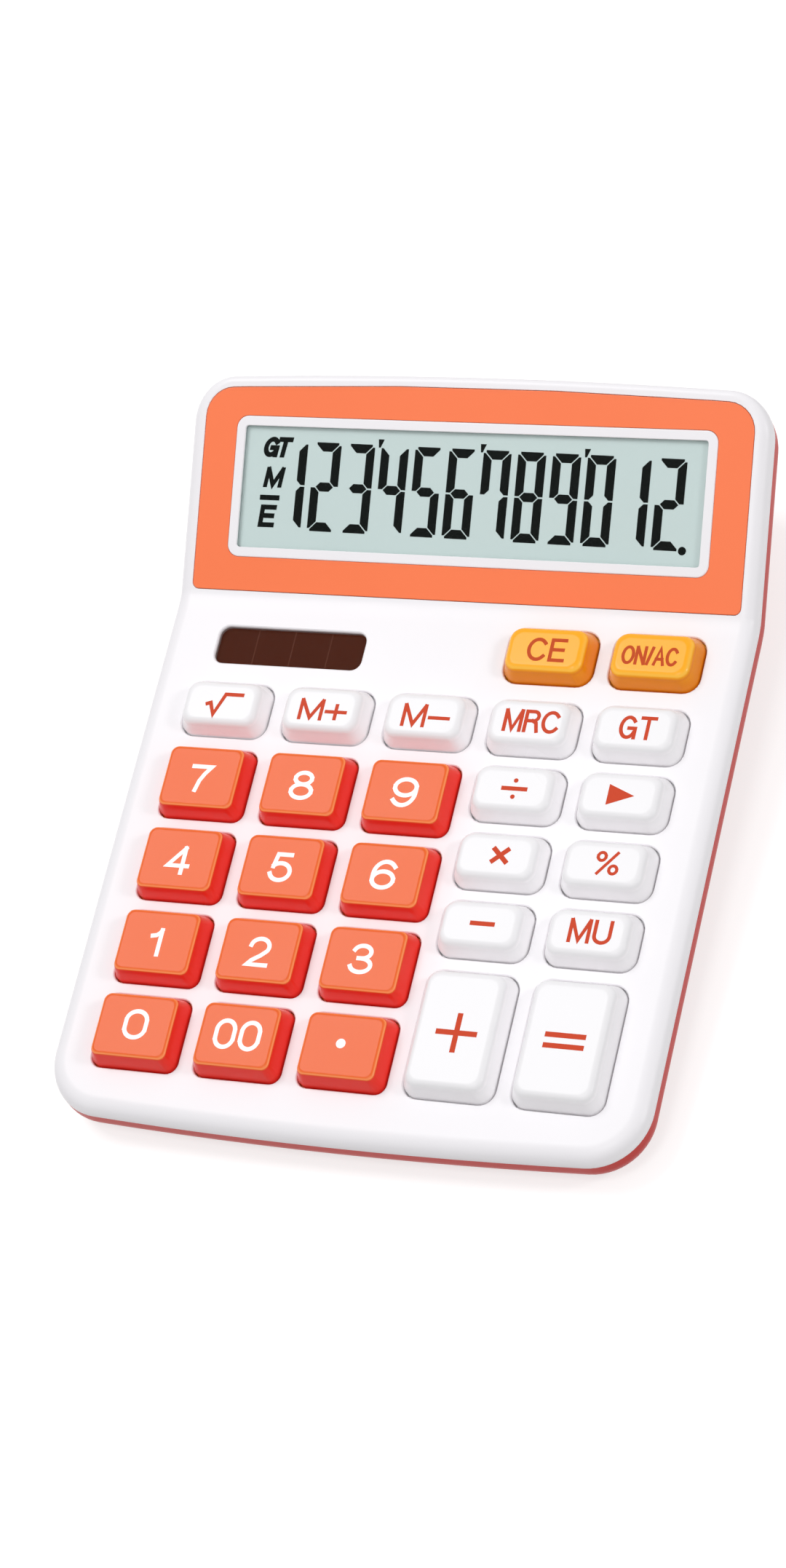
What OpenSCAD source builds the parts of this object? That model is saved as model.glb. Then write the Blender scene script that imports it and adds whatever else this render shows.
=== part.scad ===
// Desk calculator with a sloping key deck, a steeper display deck, solar and dry-cell power.
// Origin: on the table under the middle of the housing. +X right, +Y to the display, +Z up.

/* [Housing] */
// Width of the housing
body_w = 120; // [116:1:135]
// Slope of the key deck to the table, in degrees
deck_slope = 5; // [3:0.5:8]
// How much steeper the display deck is than the key deck, in degrees
display_fold = 22.3; // [16:0.1:28]
// Height of the deck's front edge over the table
front_h = 10; // [9.5:0.1:14]
// Depth of the upper housing's side below the deck
upper_h = 2.7; // [2.6:0.1:3.4]
// Thickness of the decks
deck_t = 1.8; // [1.6:0.1:2.4]
// Thickness of the side walls
wall_t = 1.8; // [1.5:0.1:2.4]
// Thickness of the lower housing's floor
floor_t = 1.8; // [1.6:0.1:2]
// How far the rounding of the deck's side and front edges reaches in
edge_r = 3.3; // [2:0.1:3.6]
// How far that rounding reaches down
edge_h = 2.5; // [1.8:0.1:2.6]
// Rounding of the deck's rear edge
rear_edge_r = 1.8; // [1:0.1:2.5]
// Corner radius at the front, seen from above
front_corner_r = 11.5; // [8:0.5:16]
// Corner radius at the rear, seen from above
rear_corner_r = 9; // [6:0.5:12]
// How far the front edge bows out in the middle
front_bow = 1.8; // [0.5:0.1:3]
// How far the rear edge bows out in the middle
rear_bow = 1.4; // [0.5:0.1:3]
// Upright part of the lower housing's side, under the joint line
rim_side = 1.5; // [0.5:0.1:2.5]
// Rounding of the lower housing's side, under its upright part
rim_r = 4.5; // [3:0.1:6]
// How far the base is narrower than the housing on each side, at the front
base_in_front = 6; // [4:0.5:10]
// How far the base is narrower than the housing on each side, at the rear
base_in_rear = 14; // [11:0.5:16]
// Gap between the deck and the lip that locates the two housings
lip_room = 0.3; // [0.25:0.05:0.5]
// Thickness of that lip
lip_t = 1; // [0.8:0.1:1.4]
// Gap between parts that fit into each other
fit_gap = 0.15; // [0.1:0.05:0.25]

/* [Keys] */
// Distance from one key column to the next
col_pitch = 21.2; // [20:0.1:22.4]
// Width of the number keys
num_w = 17.9; // [16:0.1:18.2]
// Depth of the number keys, front to rear
num_d = 14.25; // [12:0.05:14.8]
// Gap between two rows of number keys
num_gap = 2.9; // [2.8:0.05:4]
// Width of the function keys
fn_w = 17.6; // [15:0.1:18.2]
// Depth of the function keys, front to rear
fn_d = 10.9; // [9.4:0.05:11.4]
// Gap between two rows of function keys
fn_gap = 2.85; // [2.8:0.05:4]
// Depth of the two tall keys
tall_d = 24.65; // [20:0.05:28]
// Gap between the tall keys and the row behind them
tall_gap = 3.1; // [2.8:0.05:4]
// Gap in front of the clear and power keys
clear_gap = 4.2; // [2.8:0.1:6]
// Distance from the front edge to the front row
front_margin = 10.2; // [9.9:0.1:14]
// Distance from the rear row to the fold
fold_margin = 3.6; // [3:0.1:8]
// Height of the keys over the deck
key_h = 4; // [3.4:0.1:5]
// How far a key's side leans in from base to top
key_draft = 0.8; // [0.3:0.1:1.2]
// Corner radius of the number keys
num_corner_r = 1.9; // [1.2:0.1:2.6]
// Corner radius of the other keys
fn_corner_r = 2.8; // [1.6:0.1:3.2]
// Edge rounding of the number keys' tops
num_edge_r = 0.9; // [0.4:0.1:1.2]
// Edge rounding of the other keys' tops
fn_edge_r = 1.5; // [0.6:0.1:1.7]
// Wall thickness of the key caps
key_wall = 1.5; // [1.2:0.1:1.8]
// Gap between a key and its opening in the deck
key_gap = 0.35; // [0.25:0.05:0.45]
// Thickness of the flange that keeps a key in the deck
flange_t = 0.9; // [0.7:0.1:1.1]
// How far the flange stands out of the key
flange_out = 0.8; // [0.7:0.05:0.9]

/* [Keypad inside] */
// Height of the rubber domes over their sheet
dome_h = 2; // [1.9:0.1:2.2]
// Base radius of a rubber dome
dome_r = 3.4; // [2.8:0.1:3.8]
// Thickness of the rubber sheet
sheet_t = 0.8; // [0.6:0.1:0.9]
// Thickness of the circuit board
board_t = 1.2; // [1:0.1:1.6]
// Distance from the housing's side to the circuit board
board_side = 8; // [7:0.1:12]

/* [Display] */
// Distance from the housing's side to the visible display
window_side = 12.1; // [11.5:0.1:18]
// Depth of the visible display, up the slope
window_d = 23.8; // [20:0.2:25]
// Width of the white frame round it
frame_w = 1.9; // [1.4:0.1:2.4]
// Coloured band below the frame
band_low = 6.6; // [5.6:0.1:9]
// Coloured band above the frame
band_high = 6.6; // [5:0.1:9]
// White strip between the fold and the coloured panel
panel_start = 1.6; // [1.2:0.1:3]
// White strip between the panel and the housing's side
panel_margin = 3.3; // [3:0.1:5]
// White strip between the panel and the rear edge
panel_end = 2; // [1.8:0.1:4]
// Thickness of the coloured panel
panel_t = 0.8; // [0.6:0.1:1]
// Thickness of one display glass
glass_t = 1.1; // [0.7:0.1:1.2]

/* [Solar cell] */
// Width of the solar window
solar_w = 31.2; // [26:0.2:34]
// Depth of the solar window, front to rear
solar_d = 8; // [6:0.2:8.4]
// Distance of the window's middle from the housing's middle
solar_x = 32.9; // [31:0.1:35]

/* [Battery] */
// Diameter of the cell
cell_dia = 14.1; // [10.2:0.1:14.5]
// Length of the cell without its cap
cell_len = 49.2; // [43:0.2:49.6]
// Wall thickness of the battery bay
bay_t = 1.3; // [1:0.1:1.6]
// Thickness of each of the door's two steps
door_step = 1.2; // [1:0.1:1.3]

/* [Feet and screws] */
// Radius of the rubber feet
foot_r = 4.5; // [3.5:0.1:5]
// Height of the base over the table
foot_h = 1; // [0.8:0.1:1.5]
// Radius of the housing screws' shanks
screw_r = 0.95; // [0.8:0.05:1.1]
// Radius of the small screws' shanks
small_screw_r = 0.65; // [0.5:0.05:0.75]

/* [Hidden] */
$fn = 48;
eps = 0.01;
// Reach of a cut that goes right through
through = 60;

// Colours
WHITE = [0.96, 0.96, 0.97];
ORANGE = [0.97, 0.46, 0.28];
RED = [0.80, 0.24, 0.18];
YELLOW = [0.98, 0.66, 0.10];
GLASS = [0.78, 0.85, 0.84];
METAL = [0.75, 0.75, 0.77];

// Slopes and lengths of the two decks
tilt = deck_slope + display_fold;
board_w = body_w - 2 * board_side;
window_w = body_w - 2 * window_side;
tall_y = front_margin;
fn_pitch = fn_d + fn_gap;
num_pitch = num_d + num_gap;
fn_y = tall_y + tall_d + tall_gap;
root_y = fn_y + 3 * fn_pitch;
clear_y = root_y + fn_d + clear_gap;
deck_len = clear_y + fn_d + fold_margin;
frame_out_w = window_w + 2 * frame_w;
frame_out_d = window_d + 2 * frame_w;
frame_v = panel_start + band_low + frame_out_d / 2;
panel_len = band_low + frame_out_d + band_high;
display_len = panel_start + panel_len + panel_end;
rear_run = display_len * cos(tilt) + rear_edge_r * 0.55;
body_len = deck_len * cos(deck_slope) + rear_run;
front_y = -body_len / 2;
rear_y = body_len / 2;
fold_y = front_y + deck_len * cos(deck_slope);
fold_z = front_h + deck_len * sin(deck_slope);

// Arcs of the housing's outline
front_bow_r = bow_radius(body_w / 2, front_bow);
rear_bow_r = bow_radius(body_w / 2, rear_bow);
front_corner_x = body_w / 2 - front_corner_r;
rear_corner_x = body_w / 2 - rear_corner_r;
front_corner_y = front_bow_r - sqrt(pow(front_bow_r - front_corner_r, 2) - pow(front_corner_x, 2));
rear_corner_drop = rear_bow_r - sqrt(pow(rear_bow_r - rear_corner_r, 2) - pow(rear_corner_x, 2));
front_turn = asin(front_corner_x / (front_bow_r - front_corner_r));
rear_turn = asin(rear_corner_x / (rear_bow_r - rear_corner_r));

// Base of the lower housing
base_front_y = front_y + 3;
base_rear_y = rear_y - 1.5;
base_corner_r = 7;
base_wall = wall_t + 0.6;
base_half_front = body_w / 2 - base_in_front;
base_half_rear = body_w / 2 - base_in_rear;
mitre_y = fold_y + (fold_z - foot_h) * tan(deck_slope + display_fold / 2);
inner_mitre_y = fold_y + (fold_z - foot_h - floor_t) * tan(deck_slope + display_fold / 2);
lip_h = upper_h - deck_t - lip_room;
lip_in = wall_t + fit_gap + lip_t;
inner_edge_r = 0.5;

// Heights under the key deck, measured down from its top
flange_top = deck_t + 0.1;
flange_low = flange_top + flange_t;
dome_top = flange_low + 0.1;
sheet_top = dome_top + dome_h;
board_top = sheet_top + sheet_t;
board_low = board_top + board_t;
pill_t = 0.6;
plunger_r = dome_r - 1.4;
dome_roof_t = 0.7;
board_front = front_margin - 0.6;
board_rear = deck_len + 3.2;
mat_rear = clear_y + fn_d + 1;
mat_step_y = root_y + fn_d + 1;
mat_w = board_w - 1;
mat_step_x = col_x(3) - fn_w / 2 - 1.5;
chip_y = root_y - 12;

// Heights under the display deck, measured down from its top
glass_top = panel_t + 0.1;
glass_mid = glass_top + glass_t;
glass_low = glass_mid + glass_t;
reflector_t = 0.2;
reflector_low = glass_low + 0.05 + reflector_t;
holder_top = reflector_low + 0.05;
holder_t = 1.2;
glass_w = window_w + 4.2;
ledge = 2.8;
ribbon_t = 0.2;
ribbon_w = 70;
glass_v0 = frame_v - window_d / 2 - 4.1;
glass_v1 = frame_v + window_d / 2 + 1.1;
glass_d = glass_v1 - glass_v0;
glass_v = (glass_v0 + glass_v1) / 2;
holder_w = glass_w + 10;
holder_d = glass_d + 1.2;
holder_rib_t = 0.9;
holder_room = 0.25;
holder_side = glass_w / 2 + 3.3;
lens_t = 0.5;
lens_lap = 0.8;
lens_top = 0.3;
frame_corner_r = 2.4;
frame_proud = 0.1;
window_corner_r = 0.6;

// Solar cell
solar_y = clear_y + fn_d / 2 - 0.95;
solar_plate_w = solar_w + 2.4;
solar_plate_d = solar_d + 1.8;
solar_plate_t = 1.1;
solar_pocket = 0.6;
lead_r = 0.45;

// Battery bay
bay_gap = 0.45;
cell_r = cell_dia / 2;
cap_len = 1.3;
cap_r = 2.7;
spring_len = 5.4;
contact_t = 0.4;
contact_size = 11;
bay_len = cell_len + cap_len + spring_len + 2 * contact_t + 0.2;
bay_half_d = cell_r + bay_gap;
bay_y = rear_y - 15.9;
door_z = foot_h;
door_top = door_z + 2 * door_step;
cell_z = door_top + 0.4 + cell_r;
bay_top = cell_z + bay_half_d;
tab_z = cell_z + contact_size / 2 - 0.8;
tab_w = 2.5;
tab_len = bay_t + 2.2;
door_half_w = bay_len / 2 + bay_t + 0.3;
door_half_wide = door_half_w + 1.2;
door_front_y = bay_y - bay_half_d - bay_t - 0.3;
door_frame = 2.4;
grip_w = 18;
grip_pitch = 1.6;
grip_h = 0.4;

// Screws, on the table's axes: x, y, height of the head's seat
boss_r = 2.2;
boss_room = 0.3;
post_r = 3.3;
head_r = 2.1;
head_t = 1.5;
seat_t = 1.4;
pilot_gap = 0.05;
front_screw_y = front_y + 6.6 * cos(deck_slope);
middle_screw_y = front_y + (solar_y + 0.2) * cos(deck_slope);
rear_screw_y = rear_y - 5.2;
deck_screws = [
    [-col_pitch * 1.5, front_screw_y, foot_h + 1.6],
    [col_pitch * 1.5, front_screw_y, foot_h + 1.6],
    [0, middle_screw_y, foot_h + 7]
];
rear_screws = [[-40, rear_screw_y, foot_h + 13], [40, rear_screw_y, foot_h + 13]];
screw_places = concat(deck_screws, rear_screws);
screw_reach = 6;
front_screw_reach = 3.2;

// Board screws, on the key deck: where the corners of four keys meet
small_boss_r = 1.8;
small_head_r = 1.6;
small_head_t = 1;
board_screw_places = [
    [-col_pitch * 1.5, tall_y + num_pitch - num_gap / 2],
    [-col_pitch * 1.5, tall_y + 3 * num_pitch - num_gap / 2],
    [-col_pitch * 0.5, clear_y - clear_gap / 2],
    [col_pitch * 1.5, fn_y - tall_gap / 2],
    [col_pitch * 1.5, fn_y + 2 * fn_pitch - fn_gap / 2],
    [col_pitch * 1.5, clear_y - clear_gap / 2]
];
lcd_screw_places = [for (sx = [-1, 1], v = [glass_v - 10, glass_v + 10]) [sx * holder_side, v]];
foot_places = [
    [-base_half_front + 10, base_front_y + 9.5], [base_half_front - 10, base_front_y + 9.5],
    [-base_half_rear + 6.3, rear_y - 14.5], [base_half_rear - 6.3, rear_y - 14.5]
];
foot_sunk = 0.6;

// Keys: column, front edge, width, depth, corner radius, edge radius
NUM = [num_w, num_d, num_corner_r, num_edge_r];
FN = [fn_w, fn_d, fn_corner_r, fn_edge_r];
TALL = [fn_w, tall_d, fn_corner_r, fn_edge_r];
ALL_KEYS = concat(
    [for (c = [0:2], r = [0:3]) [c, tall_y + r * num_pitch, NUM]],
    [for (c = [3, 4]) [c, tall_y, TALL]],
    [for (c = [3, 4], r = [0:2]) [c, fn_y + r * fn_pitch, FN]],
    [for (c = [0:4]) [c, root_y, FN]],
    [for (c = [3, 4]) [c, clear_y, FN]]
);

// ---- Functions ----

// Radius of an arc from its half chord and its rise
function bow_radius(half, rise) = (half * half + rise * rise) / (2 * rise);

// Middle of a key column
function col_x(c) = (c - 2) * col_pitch;

// Height of the key deck or the display deck over the table at y
function deck_z(y) = y < fold_y
    ? front_h + (y - front_y) * tan(deck_slope)
    : fold_z + (y - fold_y) * tan(tilt);

// Points on an arc of an ellipse
function arc(cx, cy, rx, ry, a0, a1, n) =
    [for (k = [0:n]) let (a = a0 + (a1 - a0) * k / n) [cx + rx * cos(a), cy + ry * sin(a)]];

// Outline of the key deck's half of the housing at a depth under the deck; the front wall is upright.
// The outline goes past the mitre plane through the fold by lap.
function deck_outline(inset, depth, lap = eps) =
    let (
        shift = -depth * tan(deck_slope),
        end = deck_len + depth * tan(display_fold / 2) + lap,
        r = front_corner_r - inset,
        bow = front_bow_r - inset,
        half = body_w / 2 - inset
    )
    concat(
        arc(-front_corner_x, front_corner_y + shift, r, r, 180, 270 - front_turn, 7),
        arc(0, front_bow_r + shift, bow, bow, 270 - front_turn * 0.8, 270 + front_turn * 0.8, 6),
        arc(front_corner_x, front_corner_y + shift, r, r, 270 + front_turn, 360, 7),
        [[half, end], [-half, end]]
    );

// Outline of the display deck's half, with a rear inset of its own; the rear wall is upright
function display_outline(inset, rear_inset, depth, lap = eps) =
    let (
        reach = (rear_run - depth * sin(tilt)) / cos(tilt),
        start = -depth * tan(display_fold / 2) - lap,
        back = rear_inset / cos(tilt),
        cy = reach - rear_corner_drop,
        bow = rear_bow_r - back,
        half = body_w / 2 - inset
    )
    concat(
        [[-half, start], [half, start]],
        arc(rear_corner_x, cy, rear_corner_r - inset, rear_corner_r - back, 0, 90 - rear_turn, 7),
        arc(0, reach - rear_bow_r, bow, bow, 90 - rear_turn * 0.8, 90 + rear_turn * 0.8, 6),
        arc(-rear_corner_x, cy, rear_corner_r - inset, rear_corner_r - back, 90 + rear_turn, 180, 7)
    );

// Half width of the base at y, when it is drawn in by an inset
function base_half(y, inset) =
    base_half_front - inset
    + (base_half_rear - base_half_front) * (y - base_front_y) / (base_rear_y - base_front_y);

// Front and rear parts of the base outline on either side of the mitre at y
function base_front_outline(inset, y) =
    let (r = base_corner_r, half = base_half(base_front_y, inset), y0 = base_front_y + inset)
    concat(
        arc(-half + r, y0 + r, r, r, 180, 270, 5),
        arc(half - r, y0 + r, r, r, 270, 360, 5),
        [[base_half(y, inset), y + eps], [-base_half(y, inset), y + eps]]
    );
function base_rear_outline(inset, y) =
    let (r = base_corner_r, half = base_half(base_rear_y, inset), y1 = base_rear_y - inset)
    concat(
        [[-base_half(y, inset), y - eps], [base_half(y, inset), y - eps]],
        arc(half - r, y1 - r, r, r, 0, 90, 5),
        arc(-half + r, y1 - r, r, r, 90, 180, 5)
    );

// Rounded rectangle as points, for the key caps
function key_outline(w, d, r) = concat(
    arc(w / 2 - r, d / 2 - r, r, r, 0, 90, 4),
    arc(-w / 2 + r, d / 2 - r, r, r, 90, 180, 4),
    arc(-w / 2 + r, -d / 2 + r, r, r, 180, 270, 4),
    arc(w / 2 - r, -d / 2 + r, r, r, 270, 360, 4)
);

// ---- Places and plain shapes ----

// On the key deck: y runs from its front edge, z up from its top
module on_deck() {
    translate([0, front_y, front_h]) rotate([deck_slope, 0, 0]) children();
}

// On the display deck: y runs up its slope from the fold
module on_display() {
    on_deck() translate([0, deck_len, 0]) rotate([display_fold, 0, 0]) children();
}

// Flat rounded rectangle
module rounded(w, d, r) {
    square([w - 2 * r, d], center = true);
    square([w, d - 2 * r], center = true);
    for (sx = [-1, 1], sy = [-1, 1]) translate([sx * (w / 2 - r), sy * (d / 2 - r)]) circle(r);
}

// Plate between two depths under the current plane
module plate(low, top) {
    translate([0, 0, -low]) linear_extrude(low - top) children();
}

// One thin layer of a hull at a depth
module layer(depth) {
    translate([0, 0, -depth]) linear_extrude(eps) children();
}

// Rounded edge profile: the layers of a deck's outline from its top down to a depth
module deck_body(r, drop, inset, top, low, lap) {
    hull() on_deck() {
        layer(low) polygon(deck_outline(inset, low, lap));
        for (a = [0:30:90])
            let (d = top + drop * (1 - sin(a)))
                layer(d + eps) polygon(deck_outline(inset + r * (1 - cos(a)), d, lap));
    }
}

module display_body(r, rear_r, drop, inset, top, low, lap) {
    hull() on_display() {
        layer(low) polygon(display_outline(inset, inset, low, lap));
        for (a = [0:30:90])
            let (d = top + drop * (1 - sin(a)), back = inset + rear_r * (1 - cos(a)))
                layer(d + eps) polygon(display_outline(inset + r * (1 - cos(a)), back, d, lap));
    }
}

// Outline of the coloured panel, on the display deck
module panel_shape(grow) {
    half = body_w / 2 - panel_margin + grow;
    low = panel_start - grow;
    top = panel_start + panel_len + grow;
    r = rear_corner_r - panel_margin + grow;
    low_r = 1.3 + grow;
    bow = bow_radius(half, rear_bow);
    drop = bow - sqrt(pow(bow - r, 2) - pow(half - r, 2));
    turn = asin((half - r) / (bow - r));
    polygon(concat(
        arc(-half + low_r, low + low_r, low_r, low_r, 180, 270, 4),
        arc(half - low_r, low + low_r, low_r, low_r, 270, 360, 4),
        arc(half - r, top - drop, r, r, 0, 90 - turn, 7),
        arc(0, top - bow, bow, bow, 90 - turn * 0.8, 90 + turn * 0.8, 8),
        arc(-half + r, top - drop, r, r, 90 + turn, 180, 7)
    ));
}

// ---- Housing ----

module upper_bosses(places, extra) {
    for (p = places)
        translate([p[0], p[1], p[2] + seat_t + eps])
            cylinder(r = boss_r, h = deck_z(p[1]) + extra - p[2] - seat_t);
}

module board_bosses() {
    on_deck() for (p = board_screw_places)
        translate([p[0], p[1], -board_top]) cylinder(r = small_boss_r, h = board_top - deck_t + 0.4);
}

module lcd_bosses() {
    on_display() for (p = lcd_screw_places)
        translate([p[0], p[1], -holder_top]) cylinder(r = small_boss_r, h = holder_top - deck_t + 0.3);
}

// The upper moulding's key deck. It meets the display deck, a node of its own, at the fold's mitre.
module upper_housing() {
    r = inner_edge_r;
    color(WHITE) difference() {
        union() {
            deck_body(edge_r, edge_h, 0, 0, upper_h, 0);
            upper_bosses(deck_screws, -deck_t - 2);
        }
        difference() {
            deck_body(r, r, wall_t, deck_t, upper_h + 1, 1);
            upper_bosses(deck_screws, 2);
            board_bosses();
        }
        key_openings();
        solar_opening();
        housing_bores(deck_screws);
        board_bores();
    }
}

module display_housing() {
    r = inner_edge_r;
    color(WHITE) difference() {
        union() {
            display_body(edge_r, rear_edge_r, edge_h, 0, 0, upper_h, 0);
            upper_bosses(rear_screws, -deck_t - 2);
        }
        difference() {
            display_body(r, r, r, wall_t, deck_t, upper_h + 1, 1);
            upper_bosses(rear_screws, 2);
            lcd_bosses();
        }
        display_openings();
        housing_bores(rear_screws);
        lcd_bores();
    }
}

module key_openings() {
    on_deck() for (k = ALL_KEYS)
        translate([col_x(k[0]), k[1] + k[2][1] / 2, -deck_t - 1])
            linear_extrude(deck_t + 2)
                rounded(k[2][0] + 2 * key_gap, k[2][1] + 2 * key_gap, k[2][2] + key_gap);
}

module solar_opening() {
    on_deck() translate([-solar_x, solar_y, 0]) {
        plate(deck_t + 1, -1) rounded(solar_w, solar_d, 2);
        plate(deck_t + 1, deck_t - solar_pocket)
            square([solar_plate_w + 2 * fit_gap, solar_plate_d + 2 * fit_gap], center = true);
    }
}

module display_openings() {
    on_display() {
        plate(panel_t, -3) panel_shape(fit_gap);
        translate([0, glass_v, 0])
            plate(deck_t + 1, panel_t - eps)
                square([glass_w + 2 * fit_gap, glass_d + 2 * fit_gap], center = true);
    }
}

module housing_bores(places) {
    for (p = places)
        translate([p[0], p[1], p[2]]) cylinder(r = screw_r + pilot_gap, h = screw_depth(p) + 0.5);
}

module board_bores() {
    on_deck() for (p = board_screw_places)
        translate([p[0], p[1], -board_low])
            cylinder(r = small_screw_r + pilot_gap, h = board_low - deck_t - 0.3);
}

module lcd_bores() {
    on_display() for (p = lcd_screw_places)
        translate([p[0], p[1], -holder_top - 1])
            cylinder(r = small_screw_r + pilot_gap, h = holder_top - panel_t + 0.6);
}

// How far a housing screw reaches up from its seat
function screw_depth(p) = p[2] < foot_h + 2 ? seat_t + front_screw_reach : seat_t + screw_reach;

// Lower housing's outside: a rounded rim under the joint line, then sides drawn in to the base
module lower_front_body(inset, base_inset, top, z) {
    hull() {
        on_deck() {
            layer(top + eps) polygon(deck_outline(inset, top));
            for (a = [0, 12, 25, 40])
                let (d = upper_h + rim_side + rim_r * sin(a))
                    layer(d + eps) polygon(deck_outline(inset + rim_r * (1 - cos(a)), d));
        }
        translate([0, 0, z]) linear_extrude(eps)
            polygon(base_front_outline(base_inset, inset > 0 ? inner_mitre_y : mitre_y));
    }
}

module lower_rear_body(inset, base_inset, top, z) {
    hull() {
        on_display() {
            layer(top + eps) polygon(display_outline(inset, inset, top));
            for (a = [0, 12, 25, 40])
                let (d = upper_h + rim_side + rim_r * sin(a), i = inset + rim_r * (1 - cos(a)))
                    layer(d + eps) polygon(display_outline(i, inset + (i - inset) * 0.3, d));
        }
        translate([0, 0, z]) linear_extrude(eps)
            polygon(base_rear_outline(base_inset, inset > 0 ? inner_mitre_y : mitre_y));
    }
}

module lip_body() {
    inset = wall_t + fit_gap;
    depths = [upper_h - lip_h, upper_h + 0.6];
    hull() on_deck() for (d = depths) layer(d) polygon(deck_outline(inset, d));
    hull() on_display() for (d = depths) layer(d) polygon(display_outline(inset, inset, d));
}

module lower_housing() {
    color(RED) difference() {
        union() {
            lower_front_body(0, 0, upper_h, foot_h);
            lower_rear_body(0, 0, upper_h, foot_h);
            lip_body();
        }
        difference() {
            union() {
                lower_front_body(lip_in, base_wall, upper_h - lip_h - 1, foot_h + floor_t);
                lower_rear_body(lip_in, base_wall, upper_h - lip_h - 1, foot_h + floor_t);
            }
            posts();
            bay_walls();
        }
        screw_holes();
        boss_reliefs();
        bay_cavity();
        door_slot();
        foot_recesses();
    }
}

module posts() {
    for (p = screw_places)
        translate([p[0], p[1], foot_h]) cylinder(r = post_r, h = p[2] + seat_t - foot_h);
}

module screw_holes() {
    for (p = screw_places) {
        translate([p[0], p[1], foot_h - 1]) cylinder(r = head_r + 0.3, h = p[2] - foot_h + 1);
        translate([p[0], p[1], foot_h]) cylinder(r = screw_r + 0.25, h = p[2] + seat_t);
    }
}

// Room for the upper housing's bosses where they pass the lip and the rear wall
module boss_reliefs() {
    for (p = screw_places)
        translate([p[0], p[1], p[2] + seat_t]) cylinder(r = boss_r + boss_room, h = through);
}

module bay_walls() {
    low = [bay_len / 2 + bay_t, bay_half_d + bay_t];
    translate([-low[0], bay_y - low[1], foot_h]) cube([2 * low[0], 2 * low[1], bay_top + bay_t - foot_h]);
    translate([-door_half_wide - door_frame, door_front_y - door_frame, foot_h])
        cube([2 * (door_half_wide + door_frame), rear_y - door_front_y, door_top + 1.2 - foot_h]);
}

module bay_cavity() {
    translate([-bay_len / 2, bay_y - bay_half_d, foot_h - 1])
        cube([bay_len, 2 * bay_half_d, bay_top - foot_h + 1]);
    translate([0, bay_y, tab_z]) cube([bay_len + 2 * bay_t + 1, tab_w + 0.4, contact_t + 0.4], center = true);
}

module door_slot() {
    g = fit_gap;
    translate([-door_half_w - g, door_front_y - g, foot_h - 1])
        cube([2 * (door_half_w + g), 40, 1 + 2 * door_step + g]);
    translate([-door_half_wide - g, door_front_y - g, foot_h + door_step - g])
        cube([2 * (door_half_wide + g), 40, door_step + 2 * g]);
}

module foot_recesses() {
    for (p = foot_places)
        translate([p[0], p[1], foot_h - 1]) cylinder(r = foot_r + 0.1, h = 1 + foot_sunk);
}

// The door slides out to the rear in its stepped slot
module battery_door() {
    color(RED) difference() {
        union() {
            translate([-door_half_w, door_front_y, door_z])
                cube([2 * door_half_w, base_rear_y - door_front_y, 2 * door_step]);
            translate([-door_half_wide, door_front_y, door_z + door_step])
                cube([2 * door_half_wide, base_rear_y - door_front_y - 1, door_step]);
        }
        for (k = [0:4])
            translate([-grip_w / 2, base_rear_y - 3.5 - grip_pitch * k, door_z - eps])
                cube([grip_w, grip_pitch / 2, grip_h + eps]);
    }
}

module rubber_feet() {
    top = foot_h + foot_sunk;
    color([0.2, 0.2, 0.2]) for (p = foot_places)
        translate([p[0], p[1], 0]) rotate_extrude()
            polygon([[0, 0], [foot_r - 0.4, 0], [foot_r, 0.4], [foot_r, top], [0, top]]);
}

// ---- Display ----

module display_panel() {
    hole_w = frame_out_w + 2 * fit_gap;
    hole_d = frame_out_d + 2 * fit_gap;
    color(ORANGE) on_display() difference() {
        plate(panel_t, 0) panel_shape(0);
        translate([0, frame_v, 0])
            plate(panel_t + 1, -1) rounded(hole_w, hole_d, frame_corner_r + fit_gap);
    }
}

module window_frame() {
    seat_w = window_w + 2 * lens_lap;
    seat_d = window_d + 2 * lens_lap;
    color("white") on_display() translate([0, frame_v, 0]) difference() {
        plate(panel_t, -frame_proud) rounded(frame_out_w, frame_out_d, frame_corner_r);
        plate(panel_t + 1, -1) rounded(window_w, window_d, window_corner_r);
        plate(panel_t + 1, lens_top) rounded(seat_w, seat_d, window_corner_r + lens_lap);
    }
}

module display_lens() {
    w = window_w + 2 * lens_lap - 2 * fit_gap;
    d = window_d + 2 * lens_lap - 2 * fit_gap;
    color([0.9, 0.95, 1, 0.3]) on_display() translate([0, frame_v, 0])
        plate(lens_top + lens_t, lens_top) rounded(w, d, window_corner_r + lens_lap - fit_gap);
}

module lcd_front_glass() {
    color(GLASS) on_display() translate([0, glass_v, 0])
        plate(glass_mid, glass_top) square([glass_w, glass_d], center = true);
}

module lcd_rear_glass() {
    color(GLASS * 0.9) on_display() translate([0, glass_v + ledge / 2, 0])
        plate(glass_low, glass_mid) square([glass_w, glass_d - ledge], center = true);
}

module lcd_reflector() {
    color([0.7, 0.75, 0.72]) on_display() translate([0, glass_v + ledge / 2, 0])
        plate(reflector_low, glass_low + 0.05) square([glass_w - 1, glass_d - ledge - 1], center = true);
}

// Tray screwed to the display deck: it holds the glass by its rim
module lcd_holder() {
    rib_x = glass_w / 2 + holder_rib_t / 2 + holder_room;
    color([0.85, 0.85, 0.86]) difference() {
        on_display() translate([0, glass_v, 0]) {
            plate(holder_top + holder_t, holder_top) rounded(holder_w, holder_d, 1.5);
            for (s = [-1, 1])
                translate([s * rib_x, 0, 0])
                    plate(holder_top + 0.2, glass_mid + 0.2)
                        square([holder_rib_t, glass_d - 4], center = true);
        }
        on_display() for (p = lcd_screw_places)
            translate([p[0], p[1], -holder_top - holder_t - 1]) cylinder(r = small_screw_r + 0.15, h = 4);
        for (p = screw_places)
            translate([p[0], p[1], foot_h]) cylinder(r = boss_r + boss_room, h = through);
    }
}

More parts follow.
